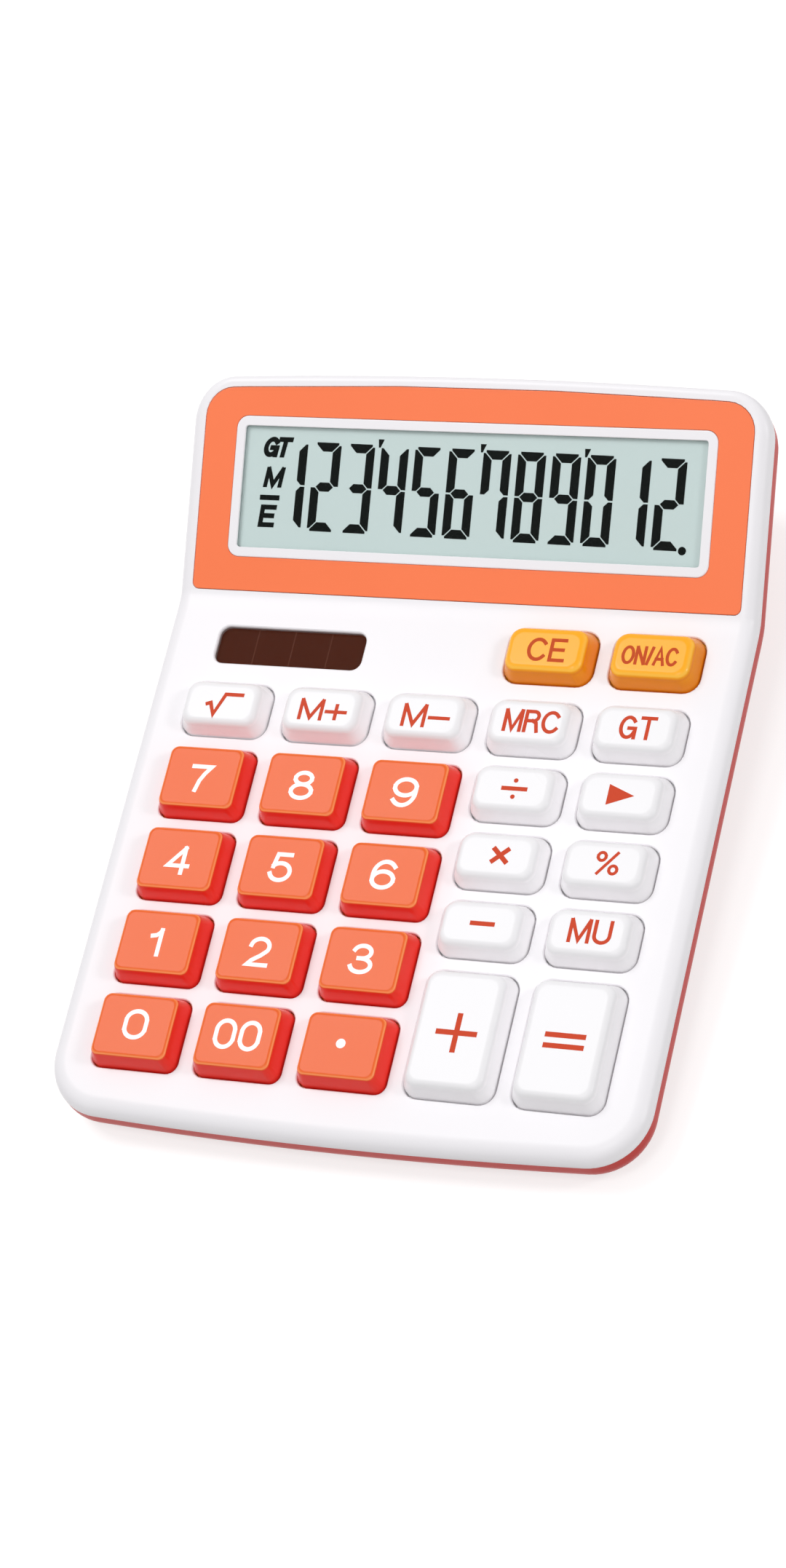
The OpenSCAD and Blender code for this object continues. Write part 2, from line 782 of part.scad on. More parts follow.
// Flat cable from the glass's ledge down to the board
module lcd_ribbon() {
    low = glass_mid + ribbon_t / 2 + 0.02;
    z = -board_top + ribbon_t / 2;
    top = display_to_deck(glass_v0 + 0.5, low);
    color([0.75, 0.6, 0.3]) on_deck()
        translate([-ribbon_w / 2, 0, 0]) rotate([90, 0, 90]) linear_extrude(ribbon_w)
            polygon(strip([
                display_to_deck(glass_v0 + ledge - 0.4, low),
                top,
                top + [-0.7, -0.6],
                top + [-1.3, -1.6],
                [board_rear + 0.3, z + 1.2],
                [board_rear - 0.4, z + 0.4],
                [board_rear - 1.4, z],
                [board_rear - 4.5, z]
            ], ribbon_t));
}

// Outline of a strip of even thickness along its points
function strip(points, t) =
    let (
        n = len(points) - 1,
        side = [for (i = [0:n]) let (way = points[min(i + 1, n)] - points[max(i - 1, 0)])
            [-way[1], way[0]] / norm(way) * t / 2]
    )
    concat([for (i = [0:n]) points[i] + side[i]], [for (i = [n:-1:0]) points[i] - side[i]]);

// A point up the display slope at a depth, as a point on the key deck's plane
function display_to_deck(v, depth) = [
    deck_len + v * cos(display_fold) + depth * sin(display_fold),
    v * sin(display_fold) - depth * cos(display_fold)
];

// ---- Solar cell ----

module solar_window() {
    color([0.5, 0.4, 0.35, 0.4]) on_deck() translate([-solar_x, solar_y, 0])
        plate(deck_t - solar_pocket, 0.5) rounded(solar_w - 0.1, solar_d - 0.1, 1.95);
}

module solar_cell() {
    top = deck_t - solar_pocket + 0.05;
    color([0.32, 0.15, 0.1]) on_deck() translate([-solar_x, solar_y, 0])
        plate(top + solar_plate_t, top) square([solar_plate_w, solar_plate_d], center = true);
}

module solar_leads() {
    top = deck_t - solar_pocket + 0.05 + solar_plate_t;
    color("red") on_deck() for (s = [-1, 1])
        translate([-solar_x + s * (solar_w / 2 - 3), solar_y, -board_top])
            cylinder(r = lead_r, h = board_top - top);
}

// ---- Keypad inside ----

function key_middle(k) = [col_x(k[0]), k[1] + k[2][1] / 2];

module mat_shape() {
    translate([-mat_w / 2, board_front]) square([mat_w, mat_step_y - board_front]);
    translate([mat_step_x, mat_step_y - 1]) square([mat_w / 2 - mat_step_x, mat_rear - mat_step_y + 1]);
}

module rubber_keymat() {
    color([0.35, 0.35, 0.38]) on_deck() difference() {
        union() {
            plate(board_top, sheet_top) mat_shape();
            for (k = ALL_KEYS)
                translate(concat(key_middle(k), -sheet_top - eps))
                    cylinder(r1 = dome_r, r2 = dome_r - 1.2, h = dome_h + eps);
        }
        for (k = ALL_KEYS)
            translate(concat(key_middle(k), -board_top - eps))
                cylinder(r1 = dome_r - 0.6, r2 = dome_r - 1.9, h = sheet_t + dome_h - dome_roof_t + eps);
        for (p = board_screw_places)
            translate([p[0], p[1], -board_top - 1]) cylinder(r = small_boss_r + 0.4, h = sheet_t + 2);
    }
}

module carbon_pills() {
    color([0.1, 0.1, 0.1]) on_deck() for (k = ALL_KEYS)
        translate(concat(key_middle(k), -dome_top - dome_roof_t - pill_t))
            cylinder(r = 1.2, h = pill_t);
}

module circuit_board() {
    color([0.55, 0.42, 0.2]) difference() {
        on_deck() difference() {
            plate(board_low, board_top)
                translate([-board_w / 2, board_front]) square([board_w, board_rear - board_front]);
            for (p = board_screw_places)
                translate([p[0], p[1], -board_low - 1]) cylinder(r = small_screw_r + 0.15, h = board_t + 2);
        }
        for (p = screw_places)
            translate([p[0], p[1], foot_h]) cylinder(r = boss_r + boss_room, h = through);
    }
}

// Pot of resin over the chip, on the board's lower side
module chip_cover() {
    r = 7;
    h = 1.8;
    color([0.08, 0.08, 0.08]) on_deck() translate([0, chip_y, -board_low])
        rotate([180, 0, 0]) rotate_extrude()
            polygon(concat([[0, 0], [r, 0]], [for (a = [15:15:90]) [r * cos(a), h * sin(a)]]));
}

module board_capacitor() {
    r = 2;
    h = 4.6;
    bevel = 0.3;
    color([0.12, 0.14, 0.3]) on_deck() translate([20, chip_y + 2, -board_low]) rotate([180, 0, 0]) {
        cylinder(r = r, h = h);
        translate([0, 0, h]) cylinder(r1 = r, r2 = r - bevel, h = bevel);
    }
}

// Three resistors side by side, each on its two bent legs
module board_resistors() {
    pitch = 5;
    lift = 1.1;
    leg_t = 0.5;
    leg_y = 3.2;
    color([0.75, 0.65, 0.45]) on_deck() for (k = [0:2])
        translate([-24 + pitch * k, chip_y, -board_low - lift]) {
            rotate([90, 0, 0]) cylinder(r = 0.9, h = 5, center = true);
            for (s = [-1, 1])
                translate([-leg_t / 2, s * leg_y - leg_t / 2, 0]) cube([leg_t, leg_t, lift]);
            cube([leg_t, 2 * leg_y + leg_t, leg_t], center = true);
        }
}

// ---- Battery ----

cell_x = -bay_len / 2 + contact_t + 0.1 + spring_len;

module battery_cell() {
    color([0.25, 0.5, 0.4]) translate([cell_x, bay_y, cell_z]) rotate([0, 90, 0]) {
        cylinder(r = cell_r, h = cell_len);
        translate([0, 0, cell_len - eps]) cylinder(r = cap_r, h = cap_len + eps);
    }
}

// Tube of even thickness along its points, as one polyhedron; up is never along the route
module tube(points, r, up, sides = 8) {
    n = len(points) - 1;
    rings = [for (i = [0:n]) let (
        way = points[min(i + 1, n)] - points[max(i - 1, 0)],
        u = cross(way, up) / norm(cross(way, up)),
        v = cross(way, u) / norm(way)
    ) for (s = [0:sides - 1]) points[i] + r * (u * cos(s * 360 / sides) + v * sin(s * 360 / sides))];
    sheath = [for (i = [0:n - 1], s = [0:sides - 1]) let (t = (s + 1) % sides)
        [i * sides + s, (i + 1) * sides + s, (i + 1) * sides + t, i * sides + t]];
    ends = [[for (s = [0:sides - 1]) s], [for (s = [sides - 1:-1:0]) n * sides + s]];
    polyhedron(rings, concat(sheath, ends));
}

// Point on a curve that four points draw
function bezier(p, t) =
    p[0] * pow(1 - t, 3) + p[1] * 3 * t * pow(1 - t, 2) + p[2] * 3 * t * t * (1 - t) + p[3] * pow(t, 3);

// Coil that gets narrower towards the cell
module battery_spring() {
    wire = 0.3;
    turns = 4;
    step = 18;
    coil = [for (a = [0:step:turns * 360]) let (k = a / (360 * turns), r = 4.6 - 1.8 * k)
        [r * cos(a), r * sin(a), wire + (spring_len - 2 * wire - 0.1) * k]];
    color(METAL) translate([-bay_len / 2 + contact_t + 0.05, bay_y, cell_z]) rotate([0, 90, 0])
        tube(coil, wire, [0, 0, 1]);
}

// Plates at the two ends of the cell, each with a tab that comes out through the bay's wall
module battery_contacts() {
    color(METAL) for (s = [-1, 1]) {
        translate([s * (bay_len / 2 - contact_t / 2 - 0.02), bay_y, cell_z])
            cube([contact_t, contact_size, contact_size], center = true);
        translate([s * (bay_len / 2 + tab_len / 2 - contact_t / 2), bay_y, tab_z])
            cube([tab_len, tab_w, contact_t], center = true);
    }
}

// Two wires from the tabs to the board's rear edge
module battery_leads() {
    from_x = bay_len / 2 + bay_t + 1.2;
    to_y = front_y + (board_rear - 3) * cos(deck_slope);
    to_z = front_h + (board_rear - 3) * sin(deck_slope) - board_low / cos(deck_slope) - lead_r - 0.05;
    start_z = tab_z + contact_t / 2 + lead_r + 0.02;
    for (s = [-1, 1]) {
        route = [
            [s * from_x, bay_y + 1, start_z],
            [s * (from_x + 3), bay_y - 14, start_z + 1],
            [s * (from_x - 4), to_y + 14, to_z],
            [s * (from_x - 8), to_y, to_z]
        ];
        color(s < 0 ? "black" : "red") tube([for (t = [0:0.0625:1]) bezier(route, t)], lead_r, [1, 0, 0]);
    }
}

// ---- Screws ----

module screw(r, reach, head_r, head_t) {
    cylinder(r = r, h = reach);
    translate([0, 0, -head_t]) difference() {
        rotate_extrude() polygon([[0, 0.3], [head_r - 0.5, 0], [head_r, 0.5], [head_r, head_t], [0, head_t]]);
        for (a = [0, 90]) rotate(a) cube([head_r * 1.1, 0.4, 1.4], center = true);
    }
}

module housing_screws() {
    color(METAL) for (p = screw_places) translate(p) screw(screw_r, screw_depth(p), head_r, head_t);
}

module board_screws() {
    color(METAL) on_deck() for (p = board_screw_places)
        translate([p[0], p[1], -board_low])
            screw(small_screw_r, board_low - deck_t - 0.6, small_head_r, small_head_t);
}

module lcd_screws() {
    color(METAL) on_display() for (p = lcd_screw_places)
        translate([p[0], p[1], -holder_top - holder_t])
            screw(small_screw_r, holder_top + holder_t - panel_t - 0.6, small_head_r, small_head_t);
}

// ---- Keys ----

// Cap with leaning sides and a rounded top, a flange under the deck, and a plunger inside
module key(c, y, kind, tint) {
    w = kind[0];
    d = kind[1];
    r = kind[2];
    e = kind[3];
    roof = key_h - key_wall;
    in = 2 * (key_wall + key_draft / 2);
    color(tint) on_deck() translate([col_x(c), y + d / 2, 0]) {
        difference() {
            union() {
                key_cap(w, d, r, e);
                plate(flange_low, flange_top)
                    rounded(w + 2 * flange_out, d + 2 * flange_out, r + flange_out);
            }
            plate(flange_low + 1, -roof) rounded(w - in, d - in, max(r - key_wall, 0.5));
        }
        plate(dome_top - 0.05, -roof - 0.2) circle(plunger_r);
    }
}

module key_cap(w, d, r, e) {
    hull() {
        key_layer(-flange_top - flange_t / 2, 0, w, d, r);
        key_layer(0.4, 0, w, d, r);
        for (a = [0, 45, 90])
            key_layer(key_h - e * (1 - sin(a)) - eps, key_draft + e * (1 - cos(a)), w, d, r);
    }
}

module key_layer(z, inset, w, d, r) {
    translate([0, 0, z]) linear_extrude(eps)
        polygon(key_outline(w - 2 * inset, d - 2 * inset, max(r - inset * 0.5, 0.6)));
}

module key_0() { key(0, tall_y, NUM, ORANGE); }
module key_00() { key(1, tall_y, NUM, ORANGE); }
module key_point() { key(2, tall_y, NUM, ORANGE); }
module key_1() { key(0, tall_y + num_pitch, NUM, ORANGE); }
module key_2() { key(1, tall_y + num_pitch, NUM, ORANGE); }
module key_3() { key(2, tall_y + num_pitch, NUM, ORANGE); }
module key_4() { key(0, tall_y + 2 * num_pitch, NUM, ORANGE); }
module key_5() { key(1, tall_y + 2 * num_pitch, NUM, ORANGE); }
module key_6() { key(2, tall_y + 2 * num_pitch, NUM, ORANGE); }
module key_7() { key(0, tall_y + 3 * num_pitch, NUM, ORANGE); }
module key_8() { key(1, tall_y + 3 * num_pitch, NUM, ORANGE); }
module key_9() { key(2, tall_y + 3 * num_pitch, NUM, ORANGE); }
module key_plus() { key(3, tall_y, TALL, WHITE); }
module key_equals() { key(4, tall_y, TALL, WHITE); }
module key_minus() { key(3, fn_y, FN, WHITE); }
module key_markup() { key(4, fn_y, FN, WHITE); }
module key_times() { key(3, fn_y + fn_pitch, FN, WHITE); }
module key_percent() { key(4, fn_y + fn_pitch, FN, WHITE); }
module key_divide() { key(3, fn_y + 2 * fn_pitch, FN, WHITE); }
module key_back() { key(4, fn_y + 2 * fn_pitch, FN, WHITE); }
module key_root() { key(0, root_y, FN, WHITE); }
module key_memory_plus() { key(1, root_y, FN, WHITE); }
module key_memory_minus() { key(2, root_y, FN, WHITE); }
module key_memory_recall() { key(3, root_y, FN, WHITE); }
module key_grand_total() { key(4, root_y, FN, WHITE); }
module key_clear_entry() { key(3, clear_y, FN, YELLOW); }
module key_power() { key(4, clear_y, FN, YELLOW); }

upper_housing();
display_housing();
lower_housing();
display_panel();
window_frame();
display_lens();
lcd_front_glass();
lcd_rear_glass();
lcd_reflector();
lcd_holder();
lcd_ribbon();
solar_window();
solar_cell();
solar_leads();
rubber_keymat();
carbon_pills();
circuit_board();
chip_cover();
board_capacitor();
board_resistors();
battery_cell();
battery_spring();
battery_contacts();
battery_leads();
battery_door();
housing_screws();
board_screws();
lcd_screws();
rubber_feet();
key_0();
key_00();
key_point();
key_1();
key_2();
key_3();
key_4();
key_5();
key_6();
key_7();
key_8();
key_9();
key_plus();
key_equals();
key_minus();
key_markup();
key_times();
key_percent();
key_divide();
key_back();
key_root();
key_memory_plus();
key_memory_minus();
key_memory_recall();
key_grand_total();
key_clear_entry();
key_power();
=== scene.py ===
"""Looks of a desk calculator: finished pieces and finishes round its packed frame.

The classes hold sizes in millimetres, and the meshes are in metres, in the frame's own axes:
x to the right, y from the front edge to the display, z up from the table.
"""

import logging
import math
from contextlib import contextmanager
from dataclasses import dataclass, field
from enum import Enum
from typing import Callable, Iterator, Sequence

import bmesh
import bpy
from mathutils import Matrix, Vector


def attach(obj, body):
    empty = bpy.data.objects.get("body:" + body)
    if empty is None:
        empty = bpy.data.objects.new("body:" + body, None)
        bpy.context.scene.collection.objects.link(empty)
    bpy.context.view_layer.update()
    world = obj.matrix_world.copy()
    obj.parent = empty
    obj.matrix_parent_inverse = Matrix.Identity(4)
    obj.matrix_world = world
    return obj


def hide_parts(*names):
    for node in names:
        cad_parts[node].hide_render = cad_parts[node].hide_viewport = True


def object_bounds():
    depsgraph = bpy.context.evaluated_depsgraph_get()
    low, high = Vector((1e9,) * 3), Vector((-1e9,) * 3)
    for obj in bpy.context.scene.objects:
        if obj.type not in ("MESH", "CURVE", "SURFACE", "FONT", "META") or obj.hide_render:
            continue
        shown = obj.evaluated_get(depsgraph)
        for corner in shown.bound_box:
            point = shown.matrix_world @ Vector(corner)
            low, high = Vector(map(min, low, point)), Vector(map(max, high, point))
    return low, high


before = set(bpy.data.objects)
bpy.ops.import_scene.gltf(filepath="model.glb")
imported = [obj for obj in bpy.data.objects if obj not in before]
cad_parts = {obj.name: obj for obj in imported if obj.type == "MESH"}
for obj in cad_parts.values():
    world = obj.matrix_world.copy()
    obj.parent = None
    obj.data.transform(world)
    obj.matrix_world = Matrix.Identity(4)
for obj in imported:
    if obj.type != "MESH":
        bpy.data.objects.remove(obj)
CAD_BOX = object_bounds()

LOG = logging.getLogger("calculator")
MM = 0.001
CASING = "casing"

Pair = tuple[float, float]
Point = tuple[float, float]
Corner = tuple[float, int]
Shape = Callable[[float], list[Point]]
Profile = Sequence[Pair]
Colour = tuple[float, float, float]
Spot = tuple[float, float, float]
Piece = bpy.types.Object
Tree = bpy.types.NodeTree
Node = bpy.types.Node
Socket = bpy.types.NodeSocket

LEAST_RADIUS = 0.05
NEAR = 1e-6
POST_SIDES = 32
RIM_STEPS = 4
RIM_TURN = 72.0


# ---- Modelling by hand ----


def select_only(piece: Piece) -> None:
    """Select one object and make it active.

    Args:
        piece: The object.
    """
    bpy.ops.object.select_all(action="DESELECT")
    piece.select_set(True)
    bpy.context.view_layer.objects.active = piece


def apply_modifier(piece: Piece, kind: str, **settings: object) -> None:
    """Put one modifier on a piece and apply it.

    Args:
        piece: The mesh to change.
        kind: The modifier's type.
        settings: Its settings, by name.
    """
    select_only(piece)
    step = piece.modifiers.new(kind.lower(), kind)
    for name, value in settings.items():
        setattr(step, name, value)
    bpy.ops.object.modifier_apply(modifier=step.name)


@contextmanager
def editing(piece: Piece, select: str = "SELECT") -> Iterator[None]:
    """Open a piece in edit mode, and close it again at the end.

    Args:
        piece: The object to edit.
        select: What to do with the selection first, as select_all's action.

    Returns:
        Nothing, to the code that works on the piece meanwhile.
    """
    select_only(piece)
    bpy.ops.object.mode_set(mode="EDIT")
    bpy.ops.mesh.select_mode(type="VERT")
    bpy.ops.mesh.select_all(action=select)
    yield
    bpy.ops.object.mode_set(mode="OBJECT")


def put_ring(piece: Piece, ring: Sequence[Vector]) -> None:
    """Move the selected vertices of a piece in edit mode to a ring of points.

    Args:
        piece: The object in edit mode, whose vertices know their spot in the ring.
        ring: The points, in metres.
    """
    mesh = bmesh.from_edit_mesh(piece.data)
    spot = mesh.verts.layers.int["spot"]
    for vertex in mesh.verts:
        if vertex.select:
            vertex.co = ring[vertex[spot]]
    bmesh.update_edit_mesh(piece.data)


def loft(name: str, rings: Sequence[Sequence[Vector]]) -> Piece:
    """Make a closed solid through rings of points: a disc, extruded ring by ring.

    Args:
        name: The piece's name.
        rings: Rings with the same number of points, in metres, from one end to the other.

    Returns:
        The solid, with flat ends.
    """
    bpy.ops.object.select_all(action="DESELECT")
    bpy.ops.mesh.primitive_circle_add(vertices=len(rings[0]), fill_type="NGON")
    piece = bpy.context.object
    piece.name = piece.data.name = name
    spot = piece.data.attributes.new("spot", "INT", "POINT")
    spot.data.foreach_set("value", range(len(rings[0])))
    with editing(piece):
        put_ring(piece, rings[0])
        for ring in rings[1:]:
            bpy.ops.mesh.extrude_region_move()
            put_ring(piece, ring)
        bpy.ops.mesh.select_all(action="SELECT")
        bpy.ops.mesh.normals_make_consistent(inside=False)
    piece.data.attributes.remove(piece.data.attributes["spot"])
    return piece


def solid(name: str, shape: Shape, place: Matrix, profile: Profile) -> Piece:
    """Make a closed solid whose outline follows one shape, drawn in by a profile.

    Args:
        name: The piece's name.
        shape: Gives the outline for an inset, in millimetres.
        place: Carries local millimetres to the frame's metres.
        profile: Pairs of height and inset, from the bottom up.

    Returns:
        The solid.
    """
    rings = [[place @ Vector((x, y, z)) for x, y in shape(inset)] for z, inset in profile]
    return loft(name, rings)


def prism(name: str, outline: Sequence[Point], place: Matrix, low: float, high: float) -> Piece:
    """Make an upright solid on one outline, between two heights."""
    return solid(name, lambda inset: outline, place, [(low, 0), (high, 0)])


def fillet(radius: float, steps: int = 6, last: float = 90.0, drop: float = 0.0) -> list[Point]:
    """Quarter circle or ellipse at a top edge.

    Args:
        radius: The edge's radius.
        steps: How many facets it has.
        last: The angle at which it stops, in degrees; 90 meets the top.
        drop: How far down it starts, where that isn't its radius.

    Returns:
        Pairs of depth under the top and inset, from the lowest up.
    """
    turns = [math.radians(last * step / steps) for step in range(steps + 1)]
    deep = drop or radius
    return [(deep * (1 - math.sin(a)), radius * (1 - math.cos(a))) for a in turns]


def rounded_top(low: float, top: float, radius: float, steps: int = 4) -> Profile:
    """Profile of a plate with an upright side and a rounded top edge."""
    return [(low, 0.0)] + [(top - depth, inset) for depth, inset in fillet(radius, steps)]


def flared(low: float, top: float, rim: float, clear: float = 0.6) -> Profile:
    """Profile of a cutter that leaves a rounded rim where it comes out at the top."""
    rise = [(top - depth, -inset) for depth, inset in fillet(rim, RIM_STEPS, RIM_TURN)]
    return [(low, 0.0)] + rise + [(top + clear, rise[-1][1])]


def combine(piece: Piece, other: Piece, operation: str) -> None:
    """Join two solids or cut one from the other, and use the second one up.

    Args:
        piece: The solid that stays.
        other: The solid that acts on it.
        operation: UNION or DIFFERENCE.
    """
    apply_modifier(piece, "BOOLEAN", operation=operation, solver="EXACT", object=other)
    bpy.data.objects.remove(other)


def joined(name: str, pieces: Sequence[Piece]) -> Piece:
    """Join objects into the first one.

    Args:
        name: What the joined piece is called.
        pieces: The objects.

    Returns:
        The first object, with all the meshes in its own.
    """
    select_only(pieces[0])
    for piece in pieces[1:]:
        piece.select_set(True)
    if len(pieces) > 1:
        bpy.ops.object.join()
    pieces[0].name = pieces[0].data.name = name
    return pieces[0]


def copied(piece: Piece, name: str, shift: Vector) -> Piece:
    """Copy a piece that is modelled once.

    Args:
        piece: The piece.
        name: The copy's name.
        shift: How far from the piece the copy lies, in metres.

    Returns:
        The copy, with a mesh of its own.
    """
    mesh = piece.data.copy()
    mesh.name = name
    mesh.transform(Matrix.Translation(shift))
    copy = bpy.data.objects.new(name, mesh)
    piece.users_collection[0].objects.link(copy)
    return copy


def smoothed(piece: Piece, angle: float = 40.0) -> Piece:
    """Shade a piece smooth up to an angle, with its flat faces kept flat.

    Args:
        piece: The finished mesh.
        angle: Edges sharper than this stay sharp, in degrees.

    Returns:
        The same piece.
    """
    select_only(piece)
    bpy.ops.object.shade_smooth_by_angle(angle=math.radians(angle))
    apply_modifier(piece, "WEIGHTED_NORMAL", keep_sharp=True, weight=100)
    return piece


def rounded_rect(
    width: float, depth: float, radius: float, steps: int = 6, fall: float = 1.0
) -> Shape:
    """Outline of a rounded rectangle round the origin.

    Args:
        width: Its size along x.
        depth: Its size along y.
        radius: Its corners' radius.
        steps: How many facets a corner has.
        fall: How much of an inset the radius loses.

    Returns:
        Gives the points for any inset.
    """

    def shape(inset: float) -> list[Point]:
        """Points of the outline, drawn in by the inset."""
        r = max(radius - inset * fall, LEAST_RADIUS)
        return [
            (
                sx * (width / 2 - inset - r) + r * math.cos(turn),
                sy * (depth / 2 - inset - r) + r * math.sin(turn),
            )
            for sx, sy, start in ((1, 1, 0), (-1, 1, 90), (-1, -1, 180), (1, -1, 270))
            for turn in [math.radians(start + 90 * k / steps) for k in range(steps + 1)]
        ]

    return shape


def disc(radius: float, sides: int = 48) -> Shape:
    """Outline of a circle round the origin, for any inset."""
    turns = [2 * math.pi * k / sides for k in range(sides)]
    return lambda inset: [
        ((radius - inset) * math.cos(a), (radius - inset) * math.sin(a)) for a in turns
    ]


def block(name: str, low: Sequence[float], high: Sequence[float]) -> Piece:
    """Make a box, as a tool for cuts and joins.

    Args:
        name: The piece's name.
        low: Its lowest corner, in millimetres.
        high: Its highest corner.

    Returns:
        The box.
    """
    shape = rounded_rect(high[0] - low[0], high[1] - low[1], LEAST_RADIUS, 1)
    middle = ((low[0] + high[0]) / 2, (low[1] + high[1]) / 2, 0)
    place = Matrix.Scale(MM, 4) @ Matrix.Translation(middle)
    return solid(name, shape, place, [(low[2], 0), (high[2], 0)])


def post(name: str, x: float, y: float, radius: float, low: float, high: float) -> Piece:
    """Make an upright cylinder in millimetres, as a tool for cuts and joins."""
    place = Matrix.Scale(MM, 4) @ Matrix.Translation((x, y, 0))
    return solid(name, disc(radius, POST_SIDES), place, [(low, 0), (high, 0)])


# ---- Finishes ----


def linear(colour: Colour) -> tuple[float, float, float, float]:
    """Turn a colour given in 0 to 255 into the shader's own linear values."""
    shares = [c / 255 for c in colour]
    return (*(s / 12.92 if s <= 0.04045 else ((s + 0.055) / 1.055) ** 2.4 for s in shares), 1.0)


class Effect(Enum):
    """Surface effects that several finishes share."""

    GRAIN = "moulded_grain"
    # Painted light: a side tone painted on upright faces, and a highlight painted on the rim.
    UPRIGHT = "upright_faces"


def feed(tree: Tree, node: Node, inputs: dict[str | int, object]) -> None:
    """Set or link a node's inputs.

    Args:
        tree: The tree that the node is in.
        node: The node.
        inputs: For each input's name or number, a value or another node's output.
    """
    for name, value in inputs.items():
        if isinstance(value, Socket):
            tree.links.new(value, node.inputs[name])
        else:
            node.inputs[name].default_value = value


def add_node(
    tree: Tree, kind: str, inputs: dict[str | int, object] | None = None, **settings: object
) -> Node:
    """Add a shader node.

    Args:
        tree: The tree that it goes into.
        kind: Its type, without the part that all have.
        inputs: What its inputs are set to or linked with.
        settings: Its own settings, by name.

    Returns:
        The node.
    """
    node = tree.nodes.new(f"ShaderNode{kind}")
    for name, value in settings.items():
        setattr(node, name, value)
    feed(tree, node, inputs or {})
    return node


def mixed(tree: Tree, factor: Socket, first: object, second: object) -> Socket:
    """Mix two colours, or colour outputs, by a mask.

    Args:
        tree: The tree to add to.
        factor: The mask's output.
        first: The colour where the mask is 0.
        second: The colour where the mask is 1.

    Returns:
        The mixed colour's output.
    """
    mix = tree.nodes.new("ShaderNodeMix")
    mix.data_type = "RGBA"
    start, end = (k for k, socket in enumerate(mix.inputs) if socket.type == "RGBA")
    feed(tree, mix, {"Factor": factor, start: first, end: second})
    return next(socket for socket in mix.outputs if socket.type == "RGBA")


def new_group(
    effect: Effect, inputs: dict[str, float], outputs: Sequence[str]
) -> tuple[Tree, Node, Node]:
    """Make an empty node group with named float sockets.

    Args:
        effect: The effect that the group makes.
        inputs: Starting values, by name.
        outputs: Names.

    Returns:
        The group's tree, its input node and its output node.
    """
    tree = bpy.data.node_groups.new(effect.value, "ShaderNodeTree")
    for name, value in inputs.items():
        socket = tree.interface.new_socket(name, in_out="INPUT", socket_type="NodeSocketFloat")
        socket.default_value = value
    for name in outputs:
        tree.interface.new_socket(name, in_out="OUTPUT", socket_type="NodeSocketFloat")
    return tree, tree.nodes.new("NodeGroupInput"), tree.nodes.new("NodeGroupOutput")


def grain_group() -> Tree:
    """Make moulded plastic's grain: a fine height, and a slow drift of tone over the piece.

    Returns:
        The group's tree.
    """
    inputs = {"Fine": 2500.0, "Slow": 40.0}
    tree, source, result = new_group(Effect.GRAIN, inputs, ["Height", "Drift"])
    place = add_node(tree, "TexCoord")
    for output, scale, detail in (("Height", "Fine", 3.0), ("Drift", "Slow", 2.0)):
        noise = add_node(tree, "TexNoise", {
            "Vector": place.outputs["Object"], "Scale": source.outputs[scale], "Detail": detail,
        })
        feed(tree, result, {output: noise.outputs["Fac"]})
    return tree


def painted_light_group() -> Tree:
    """Make the masks of painted light: one that is 1 on upright faces and 0 on faces that look up,
    for a painted side tone, and a band on the rounded rim, for a painted highlight.

    Returns:
        The group's tree.
    """
    # From and To bound the painted side tone in the normal's z; Rise, To and Fall bound the painted
    # highlight band.
    inputs = {"From": 0.2, "To": 0.72, "Rise": 0.5, "Fall": 0.999}
    tree, source, result = new_group(Effect.UPRIGHT, inputs, ["Mask", "Edge"])
    place = add_node(tree, "TexCoord")
    split = add_node(tree, "SeparateXYZ", {"Vector": place.outputs["Normal"]})
    upright, rise, fall = (
        add_node(tree, "MapRange", {
            "Value": split.outputs["Z"], "From Min": source.outputs[start],
            "From Max": source.outputs["To"], "To Min": first, "To Max": 1.0 - first,
        }, interpolation_type="SMOOTHSTEP").outputs["Result"]
        for start, first in (("From", 1.0), ("Rise", 0.0), ("Fall", 0.0))
    )
    painted_highlight_band = add_node(tree, "Math", {0: rise, 1: fall}, operation="MULTIPLY")
    feed(tree, result, {"Mask": upright, "Edge": painted_highlight_band.outputs["Value"]})
    return tree


